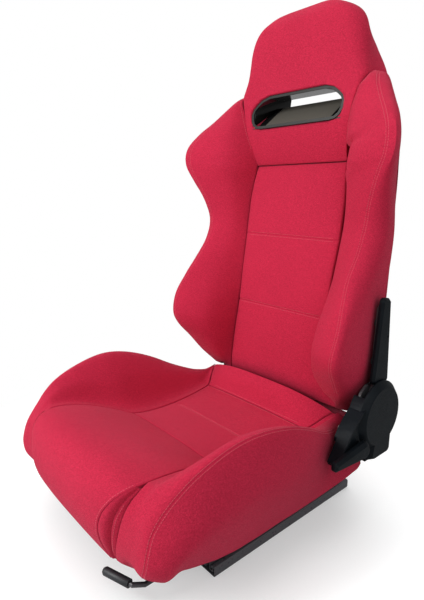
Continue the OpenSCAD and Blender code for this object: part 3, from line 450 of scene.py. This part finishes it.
def seam_section(points, crest_index, inner, depth, counts, fade=1.0, roll=SEAM_ROLL, fold=(8, 0)):
    """Section of a bolster: rolls out of its inner seam, and is pinched in by depth along the crest seam.

    Counts are the steps inside and outside the crest. A second seam may lie at fold, which gives its
    distance from the inner one and how deep it draws the cloth in.
    """
    line = dense(points)
    run = run_along(line)
    length = run[-1]
    crest = run[int(len(line) * crest_index / (len(points) - 1))]
    roll = min(roll, crest * 0.3)
    pinch = np.array([5.5, 2.6, 1.1]) * min(1, crest / 26, (length - crest) / 26)
    near_fold = np.clip(fold[0] + np.array([-4, -2, -0.8, 0, 0.8, 2, 4]), roll, crest - pinch[0])
    inside = np.sort(np.concatenate([np.linspace(roll, crest - pinch[0], counts[0]), near_fold]))
    outside = np.linspace(crest + pinch[0], length, counts[1])
    wanted = np.concatenate([
        roll * ROLL_STEPS[:-1], inside, crest - pinch[1:], [crest], crest + pinch[:0:-1], outside])
    found = at_lengths(line, wanted)
    down = np.asarray(inner, float) - found[0]
    down = down / max(np.linalg.norm(down), 1e-6)
    found = found + rolled(wanted, roll)[:, None] * down
    found[:, 1] += fold[1] * np.exp(-((wanted - fold[0]) / 2.0) ** 2)
    inward = (line[0] + line[-1]) / 2 - at_lengths(line, [crest])[0]
    inward = inward / np.linalg.norm(inward)
    pull = depth * fade * np.exp(-((wanted - crest) / (pinch[1] * 0.7 + 1e-6)) ** 2)
    return found + pull[:, None] * inward


def mirrored(rings):
    """The same rings on the seat's left side."""
    return np.asarray(rings) * np.array([-1, 1, 1])


bolster_rings = []
crest_path = []
for u in np.linspace(0, REAR_END, 96):
    a = bolster_seam(u)
    crest, side, low = smooth(bolster_line, u).reshape(3, 3)
    valley = min(max((u - 6) / 2, 0), max((19 - u) / 2, 0), 1)
    start = a + (crest - a) * (0.25, 0.25, 0.25 - 0.13 * valley)
    belly = a + (crest - a) * 0.62 + np.array([-5, 0, 6])
    foot = np.array([a[0], wall_foot(u), CUSHION_FLOOR + 1])
    fade = min(1, (REAR_END - u) / 3, 0.3 + u / 2)
    roll = 1.8 if u < 12.5 else 2.6
    section = seam_section([a, start, belly, crest, side, low], 3, foot, 0.5, (14, 18), fade, roll)
    bolster_rings.append(np.concatenate([section, [foot]]))
    crest_path.append(crest)
skin("seat_bolster_cover_right", bolster_rings, cloth, "seat_frame", ["seat_bolster_right"])
skin("seat_bolster_cover_left", mirrored(bolster_rings), cloth, "seat_frame", ["seat_bolster_left"])


# ---------- cushion: corner gussets ----------
# A lens-shaped panel closes the valley between the nose and each bolster's front lobe.
# It is two halves of the same cloth, joined by a seam along the bottom of the valley.
VALLEY = 0.6
GUSSET_SPOTS = (0, 0.1, 0.2, 0.31, 0.42, 0.5, 0.56, VALLEY, 0.64, 0.7, 0.78, 0.85, 0.91, 0.96, 1)
BEHIND = np.array([0, 5, -1.5])


def gusset_puff(s):
    """How far each half swells, for a width of 1."""
    if s < VALLEY:
        return math.sin(math.pi * s / VALLEY) * 0.12
    return math.sin(math.pi * (s - VALLEY) / (1 - VALLEY)) * 0.04


gusset_rings = []
for u in np.linspace(0.05, 6.3, 44):
    n = smooth(cushion_line, u)
    inner = np.array([n[2] + 0.6, n[0] + 1.2, n[1]])
    outer = bolster_seam(u) + np.array([-0.4, 1.2, 0])
    width = max(outer[0] - inner[0], 1.0)
    front = []
    for s in GUSSET_SPOTS:
        groove = 1.6 * math.exp(-((s - VALLEY) * width / 1.4) ** 2)
        puff = gusset_puff(s) * width
        front.append(inner + (outer - inner) * s + np.array([0.4 * puff, groove - puff, 0]))
    back = [front[-1] + BEHIND - (0.5, 0, 0), front[GUSSET_SPOTS.index(VALLEY)] + BEHIND,
            front[0] + BEHIND + (0.5, 0, 0)]
    gusset_rings.append(front + back)
skin("gusset_cover_right", gusset_rings, cloth, "seat_frame", ["corner_gusset_right"])
skin("gusset_cover_left", mirrored(gusset_rings), cloth, "seat_frame", ["corner_gusset_left"])


# ---------- back frame ----------
# A hoop of 18 mm steel tube with cross bars and the arm's bracket, painted like the seat frame.
# It is hidden inside the padding and shows only through the belt slot and the gaps round the arm.
dress(["back_side_tube_right", "back_side_tube_left", "back_top_tube", "back_cross_bars",
       "back_side_bracket", "left_ear", "recliner_arm"], frame_paint)


# ---------- back: side bolsters ----------
# Deep wings of foam beside the sitter, narrow at the waist and widest at the shoulders.
# A top-stitched seam runs down the crest. On the right, one more seam swings out under the foot of the wing.
LEAN = math.radians(9)
AXIS_Y, AXIS_Z = 152, 210
FRAME_FRONT = 5
HEAD_FOOT, HEAD_SHOULDER = 474, 595
# height, then x and y of the seam, crest, side and rear corner
wing_line = np.array([
    (-14, 128, -11, 178, -14, 196, -7, 202, 4), (14, 128, -15, 200, -47, 216, -28, 222, 5),
    (48, 128, -16, 211, -82, 230, -56, 233, 5), (80, 128, -16, 221, -117, 238, -86, 236, 5),
    (109, 127, -17, 227, -131, 242, -100, 237, 5), (154, 126, -17, 230, -127, 242, -94, 237, 5),
    (200, 126, -16, 221, -111, 240, -80, 236, 5), (246, 128, -14, 211, -90, 237, -62, 235, 5),
    (294, 130, -12, 208, -67, 236, -42, 235, 5), (342, 132, -11, 210, -60, 238, -36, 233, 5),
    (387, 131.5, -11, 221, -75, 245, -52, 227, 5), (426, 128, -13, 239, -96, 256, -76, 222, 5),
    (463, 122.5, -17, 256, -110, 269, -94, 219, 5), (500, 126, -30, 255, -112, 269, -95, 217, 5),
    (535, 133, -46.5, 237, -99, 253, -81, 211, 5), (565, 140, -55.5, 215, -82, 231, -62, 200, 5),
    (595, 151, -58, 195, -65, 210, -46, 188, 5), (614, 161, -52, 184, -51, 195, -32, 181, 5),
    (626, 162, -41, 175, -38, 184, -23, 174, 5), (634, 160, -28, 164, -24, 170, -13, 164, 5)], float)
WING_END = 19
# height, and how far the inner face swells towards the sitter there, in x and y
swell_line = np.array([
    (-14, 0, 0), (14, -13, -11), (48, -18, -18), (109, -18, -21), (154, -16, -19), (200, -9, -12),
    (246, -5, -9), (342, -6, -10), (426, -10, -15), (458, -16, -22), (482, -16, -22), (505, -11, -17),
    (535, -8, -13), (565, -6, -10), (600, -4, -8), (628, 0.5, -1.5)], float)
# height, and how much of the way from the seam to the crest the swell sits
belly_line = np.array([(246, 0.5), (342, 0.42), (560, 0.42), (600, 0.5)])
# height, and y of the seam where it is tucked in beside the head panel
tuck_line = np.array([(474, -13.4), (478, -17.3), (500, -30.3), (535, -46.3), (565, -53.3), (595, -56.3)])
# on the right: height and x of the seam under the foot, and height and y of the flat cloth beside the insert
foot_seam = np.array([(-14, 184), (0, 177), (14, 166), (30, 150), (48, 137), (64, 130), (80, 127)], float)
foot_flat = np.array([(-14, -11.3), (-4, -14.2), (20, -17.2), (80, -19.2)])


def on_back(points):
    """From the upright backrest, drawn round the recliner axis, to where it stands leaned back."""
    p = np.asarray(points, float)
    x, y, z = p[..., 0], p[..., 1], p[..., 2]
    c, s = math.cos(LEAN), math.sin(LEAN)
    return np.stack([x, AXIS_Y + y * c + z * s, AXIS_Z - y * s + z * c], -1)


def at_height(line, z):
    """The other columns of a line whose first column is a height, read off at height z."""
    return np.array([np.interp(z, line[:, 0], column) for column in line.T[1:]])


def wing_cover(name, node, turn, swept):
    """A side bolster of the back and its crest. Where swept, the cloth is flat out to a seam at its foot."""
    rings, crests = [], []
    for u in np.linspace(0, WING_END, 104):
        q = smooth(wing_line, u)
        z = q[0]
        a, b, c, d = [np.array([q[k], q[k + 1], z]) for k in (1, 3, 5, 7)]
        a[0] += SEAM_GAP
        if z > HEAD_FOOT:
            a = np.array([q[1] - 1.0, at_height(tuck_line, z)[0] if z < HEAD_SHOULDER else q[2], z])
        swell = np.append(at_height(swell_line, z), 0)
        points = [a, a + (b - a) * at_height(belly_line, z)[0] + swell, b, c, d]
        crest_index, fold = 2, (8, 0)
        roll = SEAM_ROLL if z < 455 else max(SEAM_ROLL - (z - 455) / 9, 0.5)
        reach = at_height(foot_seam, z)[0] - a[0]
        # true at the foot, and also at heights of about 449 to 497, where the wing's own seam is narrow
        if swept and reach > 2:
            a = np.array([126, at_height(foot_flat, z)[0], z])
            seam = np.array([q[1] + reach, a[1] + 1.0, z])
            round_out = min(1, (b[0] - seam[0]) / 40)
            points = [a, (a + seam) / 2, seam, (seam + b) / 2 + swell * round_out, b, c, d]
            crest_index, fold = 4, (seam[0] - a[0], 2.5 * round_out)
            roll = 0.6
        fade = min(1, (WING_END - u) / 2.5, 0.3 + u / 2)
        foot = np.array([a[0], FRAME_FRONT, z])
        section = seam_section(points, crest_index, foot, 0.8, (16, 15), fade, roll, fold)
        rings.append(on_back(np.concatenate([section, [foot]])))
        crests.append(b)
    return skin(name, np.array(rings) * turn, cloth, "backrest", [node]), np.array(crests)


def cut(piece, rings):
    """Cuts a stack of rings, in the upright back's millimetres, out of a panel."""
    tool = skin("cutter", on_back(rings), cloth, "backrest")
    hole = piece.modifiers.new("hole", "BOOLEAN")
    hole.operation = "DIFFERENCE"
    hole.solver = "EXACT"
    hole.object = tool
    mesh = bpy.data.meshes.new_from_object(piece.evaluated_get(bpy.context.evaluated_depsgraph_get()))
    piece.modifiers.clear()
    piece.data = mesh
    bpy.data.objects.remove(tool)


right_wing, wing_crest = wing_cover("back_bolster_cover_right", "back_bolster_right", (1, 1, 1), True)
left_wing, _ = wing_cover("back_bolster_cover_left", "back_bolster_left", (-1, 1, 1), False)
# the left hinge bracket swings into a pocket in the foot of the left wing
pocket = [(-161, -18), (-150, -18), (-150, 12), (-161, 12)]
cut(left_wing, [[(x, y, z) for x, y in pocket] for z in (-40, 60)])


# ---------- back: insert panel ----------
# The long flat panel between the wings, sewn in along both sides and across the top.
# Two double-stitched seams cross it, at the waist and between the shoulders.
INSERT_TOP = 473.3
CROSS_SEAMS = (158, 317)
# height, front y and half width
insert_line = np.array([
    (-20, -6, 126), (-14, -11, 127), (-4, -14, 127.5), (20, -17, 128), (80, -19, 127), (157, -18, 125),
    (158, -18, 125), (237, -18, 128), (316, -16, 131.5), (395, -17, 131.5), (430, -17, 127.5),
    (462, -15, 122), (473.3, -12, 121)], float)
heights = [np.linspace(-20, 469, 62), INSERT_TOP - SEAM_ROLL * ROLL_STEPS[::-1]]
heights += [h + np.array([-5, -2.4, -1, 0, 1, 2.4, 5]) for h in CROSS_SEAMS]
across = seam_places(2 * 120) / 120 - 1
insert_rings = []
for h in np.unique(np.round(np.concatenate(heights), 2)):
    y, w = at_height(insert_line, h)
    w -= SEAM_GAP
    x = across * w
    roll = np.clip(3.2 + (h - 200) / 25, 3.2, 6.5) if h < 400 else np.clip(6.5 - (h - 400) / 18, 3.2, 6.5)
    drop = np.maximum(rolled(x + w, roll), rolled(w - x, np.clip((h - 66) / 6, 0.1, roll)))
    drop = np.maximum(drop, rolled(INSERT_TOP - h, SEAM_ROLL))
    puff = 2.2 * (1 - np.abs(x / w) ** 4) * min(1, (INSERT_TOP - h) / 18)
    pinch = sum(1.5 * math.exp(-((h - g) / 1.9) ** 2) for g in CROSS_SEAMS)
    front = np.stack([x, y - puff + drop + pinch, np.full(len(x), h)], 1)
    insert_rings.append(on_back(np.concatenate([front, [[w, FRAME_FRONT, h], [-w, FRAME_FRONT, h]]])))
back_insert = skin("back_insert_panel", insert_rings, cloth, "backrest", ["back_insert_pad"])


# ---------- back: head and shoulder panel ----------
# One panel over the shoulders and head, round at the top corners, with the belt slot cut through it.
# The cloth is tucked round the slot's opening, under the rim of the bezel.
SLOT_HALF, SLOT_LOW, SLOT_TOP, SLOT_MID = 122, 545.5, 613.5, 579
SLOT_FACE = -49.4
# height, half width, front y, corner radius, half width at the rear, rear y
head_line = np.array([
    (473.9, 121, -14, 3, 120, 5), (478, 122, -18, 1, 121, 5), (500, 126, -31, 1, 125, 5),
    (535, 133, -47, 1, 132, 5), (565, 140, -54, 2, 139, 5), (595, 151, -57, 8, 150, 5),
    (618, 160, -59, 16, 170, 5), (636, 158, -61, 24, 168, 5), (655, 153, -64, 30, 159, 5),
    (680, 149, -68, 33, 144, 5), (705, 145, -72, 34, 129, 5), (730, 136, -75, 34, 112, -2),
    (748, 121, -75, 32, 91, -16), (761, 99, -70, 26, 69, -33), (770, 74, -63, 12, 47, -46),
    (775.4, 44, -57, 4, 30, -50)], float)
head_rings = []
for u in np.concatenate([[0, 0.25, 0.55, 0.8, 1], np.linspace(1.25, len(head_line) - 1, 74)]):
    z, w, front, r, w_rear, y_rear = smooth(head_line, u)
    w, w_rear = w - 0.1, w_rear - SEAM_GAP
    flat = [(x, front, z) for x in np.linspace(0, w - r, 12)[:-1]]
    corner = [(w - r + r * math.sin(t), front + r - r * math.cos(t), z)
              for t in np.linspace(0, math.pi / 2, 12)]
    side = [(w + (w_rear - w) * s, front + r + (y_rear - front - r) * s, z)
            for s in np.linspace(0, 1, 8)[1:]]
    half = np.array(flat + corner + side)
    head_rings.append(on_back(np.concatenate([mirrored(half[:0:-1]), half])))
head = skin("head_panel", head_rings, cloth, "backrest", ["back_head_pad"])


def slot_ring(grow, yb):
    """The slot's outline at depth yb of the back, grown by grow."""
    right = [
        (SLOT_HALF - 30, SLOT_LOW, 0.3, -1), (SLOT_HALF - 17, SLOT_LOW + 2, 0.6, -0.8),
        (SLOT_HALF - 7, SLOT_LOW + 9, 0.8, -0.6), (SLOT_HALF - 1.5, SLOT_LOW + 20, 1, -0.2),
        (SLOT_HALF, SLOT_MID, 1, 0), (SLOT_HALF - 4, SLOT_MID + 10, 0.9, 0.4),
        (SLOT_HALF - 13, SLOT_TOP - 16, 0.8, 0.6), (SLOT_HALF - 27, SLOT_TOP - 6, 0.5, 0.9),
        (SLOT_HALF - 49, SLOT_TOP, 0.2, 1)]
    side = [(x + grow * gx, yb, z + grow * gz) for x, z, gx, gz in right]
    return np.array(side + [(-x, y, z) for x, y, z in side[::-1]], float)


mouth = slot_ring(0.6, SLOT_FACE - 0.1)
deep = []
# depth, half width, low and top of the hole that the tunnel runs in
for yb, half, low, high in [(SLOT_FACE, 119, SLOT_LOW - 1, SLOT_TOP - 1),
                            (8, 113, SLOT_TOP - 12, SLOT_TOP + 18), (30, 110, SLOT_TOP - 12, SLOT_TOP + 26)]:
    ring = mouth.copy()
    ring[:, 0] = np.clip(ring[:, 0], -half, half)
    ring[:, 1] = yb
    ring[:, 2] = low + (ring[:, 2] - SLOT_LOW) / (SLOT_TOP - SLOT_LOW) * (high - low)
    deep.append(ring)
cut(head, [slot_ring(0.6, -110), mouth] + deep)


# ---------- belt slot ----------
# A moulded bezel in two parts, pushed in from the front and from behind, that leads the belts over the back.
# The front part is glossy black with a duller rim and a grey floor plate. The rear part is a matt frame.
INTO_BACK = np.array([0, math.cos(LEAN), -math.sin(LEAN)])
gloss, tree, shader = new_finish("gloss_plastic")
place = add(tree, "TexCoord")
depth = add(tree, "VectorMath", place.outputs["Object"], INTO_BACK, operation="DOT_PRODUCT").outputs["Value"]
face_depth = float(on_back((0, SLOT_FACE, 580)) / 1000 @ INTO_BACK)
rim = between(tree, depth, face_depth, face_depth - 0.0008)
apart = add(tree, "SeparateXYZ", place.outputs["Object"])
from_middle = add(tree, "Math", apart.outputs[0], operation="ABSOLUTE").outputs[0]
facing = add(tree, "SeparateXYZ", place.outputs["Normal"])
in_middle = between(tree, from_middle, 0.088, 0.084)
on_top = between(tree, facing.outputs[2], 0.2, 0.4)
plate = add(tree, "Math", in_middle, on_top, operation="MULTIPLY").outputs[0]
black = ramp(tree, grain(tree, 40), [(0.3, 0.005), (0.7, 0.009)])
with_plate = mixed(tree, plate, black, (0.125, 0.115, 0.098, 1))
feed(tree, shader.inputs["Base Color"], mixed(tree, rim, with_plate, (0.022, 0.023, 0.021, 1)))
feed(tree, shader.inputs["Roughness"], between(tree, rim, 0, 1, 0.12, 0.42))
shader.inputs["Specular IOR Level"].default_value = 0.26
dress(["belt_bezel_front"], gloss, bevel=0.0009)
matt, tree, shader = new_finish("matt_plastic")
mottled(tree, shader.inputs["Base Color"], 40, (0.008, 0.008, 0.009), (0.014, 0.014, 0.016))
mottled(tree, shader.inputs["Roughness"], 400, 0.46, 0.6)
bump(tree, shader, grain(tree, 1600, 2), 0.0001)
dress(["belt_bezel_rear"], matt, bevel=0.001)


# ---------- back: rear cover ----------
# A shell of thin foam and the same red cloth, clipped over the back of the frame.
# It leaves an opening for the belts behind the slot.
SHELL_WALL = 7
# height, half width at the front edge, rear corner x and y, rear y at the middle
shell_line = np.array([
    (6, 212, 190, 40, 54), (50, 234, 208, 47, 61), (110, 240, 212, 50, 66), (200, 237, 208, 50, 68),
    (294, 232, 202, 50, 66), (387, 225, 196, 48, 62), (463, 220, 190, 46, 58), (535, 211, 176, 44, 55),
    (595, 189, 152, 43, 52), (640, 158, 130, 38, 47), (690, 134, 112, 30, 42), (722, 116, 90, 20, 32),
    (742, 100, 70, 9, 14)], float)
shell_rings = []
for u in np.linspace(0.09, 12, 72):
    z, w, corner_x, corner_y, rear_y = smooth(shell_line, u)
    front = FRAME_FRONT + 0.8
    half = [(w, front, z), (corner_x, corner_y, z), (corner_x * 0.6, rear_y - 2, z), (0, rear_y, z)]
    outer = dense(half + [(-x, y, h) for x, y, h in half[2::-1]], 46)
    shrink_x, shrink_y = 1 - SHELL_WALL / w, 1 - SHELL_WALL / (rear_y - FRAME_FRONT)
    inner = np.stack([outer[:, 0] * shrink_x, front + (outer[:, 1] - front) * shrink_y, outer[:, 2]], 1)
    shell_rings.append(on_back(np.concatenate([outer, inner[::-1]])))
shell = skin("rear_shell_cover", shell_rings, cloth, "backrest", ["back_rear_cover"])
opening = [(-110.6, 610), (-102, 601.4), (102, 601.4), (110.6, 610), (110.6, 642), (102, 650.6),
           (-102, 650.6), (-110.6, 642)]
cut(shell, [[(x, yb, z) for x, z in opening] for yb in (30, 90)])


# ---------- recliner covers and lever ----------
# Two satin black mouldings over the recliner, with a wide soft bevel and a fine grain, and the lever.
# The plastic is slightly blue.
plastic, tree, shader = new_finish("cover_plastic")
mottled(tree, shader.inputs["Base Color"], 35, (0.0028, 0.0046, 0.0068), (0.0050, 0.0078, 0.0108))
mottled(tree, shader.inputs["Roughness"], 500, 0.42, 0.56)
shader.inputs["Specular IOR Level"].default_value = 0.13
bump(tree, shader, grain(tree, 2200, 2), 0.00012)
dress(["recliner_cover", "recliner_lever", "arm_cover"], plastic, bevel=0.0014, angle=18)


# ---------- top stitching ----------
# Rows of red thread along each visible seam, about six stitches to the inch.
# Each stitch is a short loop that rises out of the cloth and dives back in.
STITCH_PITCH, STITCH_LENGTH, THREAD_RADIUS, THREAD_SIDES = 4.4, 3.2, 0.44, 5
thread, tree, shader = new_finish("thread")
colours = [(0.35, (0.55, 0.045, 0.085)), (0.65, (0.74, 0.095, 0.150))]
feed(tree, shader.inputs["Base Color"], ramp(tree, grain(tree, 3000), colours))
shader.inputs["Roughness"].default_value = 0.6
shader.inputs["Sheen Weight"].default_value = 0.2


def add_stitch(verts, faces, start, top, stop, forward, up):
    """One stitch: a tube from start over top to stop, thickest in the middle."""
    base = len(verts)
    sideways = np.cross(forward, up)
    for t in (0.0, 0.25, 0.5, 0.75, 1.0):
        lift = 0.34 * math.sin(math.pi * t) - 0.12
        centre = start * (1 - t) + stop * t + (top - (start + stop) / 2) * (1 - (2 * t - 1) ** 2)
        radius = THREAD_RADIUS * (0.55 + 0.45 * math.sin(math.pi * t))
        for b in range(THREAD_SIDES):
            turn = math.tau * b / THREAD_SIDES
            out = sideways * math.cos(turn) + up * math.sin(turn)
            verts.append(tuple((centre + up * lift + out * radius) / 1000))
    for low in range(base, base + 4 * THREAD_SIDES, THREAD_SIDES):
        high = low + THREAD_SIDES
        for b in range(THREAD_SIDES):
            c = (b + 1) % THREAD_SIDES
            faces.append((low + b, low + c, high + c, high + b))
    faces.append(tuple(base + b for b in range(THREAD_SIDES - 1, -1, -1)))
    faces.append(tuple(base + 4 * THREAD_SIDES + b for b in range(THREAD_SIDES)))


def stitch_seam(name, cover, path, body, offsets=(-2.4, 2.4)):
    """Rows of stitches along path, in world millimetres, laid on the cover beside the seam."""
    cover_tree = BVHTree.FromObject(cover, bpy.context.evaluated_depsgraph_get())

    def surface(p):
        point, normal = cover_tree.find_nearest(Vector(p) / 1000)[:2]
        return np.array(point) * 1000, np.array(normal)

    path = np.asarray(path, float)
    verts, faces = [], []
    for offset in offsets:
        for begin in np.arange(STITCH_PITCH, run_along(path)[-1] - STITCH_PITCH, STITCH_PITCH):
            places = at_lengths(path, begin + np.array([0, 0.5, 1]) * STITCH_LENGTH)
            forward = places[2] - places[0]
            forward = forward / np.linalg.norm(forward)
            beside = np.cross(forward, surface(places[1])[1]) * offset
            (start, _), (top, up), (stop, _) = [surface(p + beside) for p in places]
            add_stitch(verts, faces, start, top, stop, forward, up)
    mesh = bpy.data.meshes.new(name)
    mesh.from_pydata(verts, [], faces)
    mesh.polygons.foreach_set("use_smooth", [True] * len(mesh.polygons))
    mesh.materials.append(thread)
    piece = bpy.data.objects.new(name, mesh)
    bpy.context.scene.collection.objects.link(piece)
    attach(piece, body)


def cushion_row(u, half, shift_y):
    """A line across the cushion at place u of its line, a little above the cloth."""
    y, z = smooth(cushion_line, u)[:2]
    return [(x, y + shift_y, z + 4) for x in np.linspace(-half, half, 60)]


shoulder = on_back([smooth(wing_line, u)[[1, 2, 0]] + (4.5, 0, 0) for u in np.linspace(13.1, 17.6, 60)])
valley_row = np.array([ring[GUSSET_SPOTS.index(0.78)] for ring in gusset_rings[6:-8]])
nose_edge = np.array([smooth(cushion_line, u)[[2, 0, 1]] - (4.2, 0, 0) for u in np.linspace(0.4, 6.6, 60)])
for side, flip, wing in (("right", 1, right_wing), ("left", -1, left_wing)):
    turn = np.array([flip, 1, 1])
    bolster = bpy.data.objects["seat_bolster_cover_" + side]
    gusset = bpy.data.objects["gusset_cover_" + side]
    stitch_seam("cushion_crest_stitches_" + side, bolster, np.array(crest_path[:84]) * turn, "seat_frame")
    stitch_seam("wing_crest_stitches_" + side, wing, on_back(wing_crest[8:98]) * turn, "backrest")
    stitch_seam("shoulder_stitches_" + side, wing, shoulder * turn, "backrest", offsets=(0.0,))
    stitch_seam("gusset_stitches_" + side, gusset, valley_row * turn, "seat_frame", offsets=(0.0,))
    stitch_seam("nose_edge_stitches_" + side, nose, nose_edge * turn, "seat_frame", offsets=(0.0,))
stitch_seam("cushion_cross_stitches", insert, cushion_row(14.46, 116, 0), "seat_frame", offsets=(-2.6, 2.6))
stitch_seam("cushion_rear_stitches", rear, cushion_row(17, 132, 4), "seat_frame", offsets=(0.0,))
stitch_seam("cushion_insert_stitches", insert, cushion_row(17, 132, -5), "seat_frame", offsets=(0.0,))
for label, h in zip(("waist", "shoulder_blade"), CROSS_SEAMS):
    row = on_back([(x, -22, h) for x in np.linspace(-119, 119, 60)])
    stitch_seam("insert_" + label + "_stitches", back_insert, row, "backrest", offsets=(-2.6, 2.6))


# ---------- studio ----------
# A pale floor that keeps the seat's cast shadow, carries a painted shadow round the seat, and fades to
# white, and soft light from above and to the left.
# The camera stands at the seat's right front corner, a little above the cushion.
WHITE = (1, 1, 1, 1)
floor_mesh = bpy.data.meshes.new("floor")
floor_mesh.from_pydata([(-6, -6, 0), (6, -6, 0), (6, 6, 0), (-6, 6, 0)], [], [(0, 1, 2, 3)])
floor = bpy.data.objects.new("floor", floor_mesh)
bpy.context.scene.collection.objects.link(floor)
floor.location.z = -0.0005
floor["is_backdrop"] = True
floor_mat, tree, shader = new_finish("floor_white")
tree.nodes.remove(shader)
floor_mesh.materials.append(floor_mat)
paint = add(tree, "BsdfDiffuse", Color=(0.62, 0.64, 0.64, 1)).outputs[0]
# Painted shadow: for the camera, the floor's glow is dimmed from 0.72 to 0.36 where ambient occlusion finds
# the seat within 22 cm.
ao_for_painted_shade = add(tree, "AmbientOcclusion", samples=8, Distance=0.22).outputs["AO"]
painted_floor_shadow = between(tree, ao_for_painted_shade, 0.40, 0.90, 0.36, 0.72)
glow = add(tree, "Emission", Color=WHITE, Strength=painted_floor_shadow).outputs[0]
to_camera = add(tree, "LightPath").outputs["Is Camera Ray"]
both = add(tree, "AddShader", paint, glow).outputs[0]
near = add(tree, "MixShader", to_camera, paint, both).outputs[0]
place = add(tree, "TexCoord").outputs["Object"]
distance = add(tree, "VectorMath", place, operation="LENGTH").outputs["Value"]
far = add(tree, "Math", between(tree, distance, 0.42, 0.75), to_camera, operation="MULTIPLY").outputs[0]
blank = add(tree, "Emission", Color=WHITE, Strength=1.0).outputs[0]
whole = add(tree, "MixShader", far, near, blank).outputs[0]
feed(tree, tree.nodes["Material Output"].inputs["Surface"], whole)

world = bpy.data.worlds.new("studio")
bpy.context.scene.world = world
world.use_nodes = True
tree = world.node_tree
dim = tree.nodes["Background"]
dim.inputs["Color"].default_value = WHITE
dim.inputs["Strength"].default_value = 0.34
full = add(tree, "Background", Color=WHITE, Strength=1.0)
path = add(tree, "LightPath")
seen = add(tree, "Math", path.outputs["Is Camera Ray"], path.outputs["Is Transmission Ray"],
           operation="MAXIMUM").outputs[0]
sky = add(tree, "MixShader", seen, dim.outputs[0], full.outputs[0]).outputs[0]
feed(tree, tree.nodes["World Output"].inputs["Surface"], sky)

for name, place, aim, size, power in [
    ("key", (-0.9, -2.2, 1.5), (0.0, 0.1, 0.4), 1.3, 56),
    ("top", (0.0, 0.4, 2.6), (0.0, 0.1, 0.4), 1.6, 12),
    ("right", (1.9, -0.8, 1.8), (0.2, 0.1, 0.6), 1.4, 15),
]:
    lamp = bpy.data.lights.new(name, "AREA")
    lamp.size = size
    lamp.energy = power
    spot = bpy.data.objects.new(name, lamp)
    spot.location = place
    spot.rotation_euler = (Vector(aim) - Vector(place)).to_track_quat("-Z", "Y").to_euler()
    bpy.context.scene.collection.objects.link(spot)

view = bpy.data.cameras.new("camera")
view.sensor_width = 36
view.lens = 28.6866
camera = bpy.data.objects.new("camera", view)
camera.location = (0.6867, -0.6309, 0.6208)
camera.rotation_euler = (math.radians(90 - 12.755), 0, math.radians(49.087))
bpy.context.scene.collection.objects.link(camera)
bpy.context.scene.camera = camera
bpy.context.scene.view_settings.view_transform = "Standard"

low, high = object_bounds()
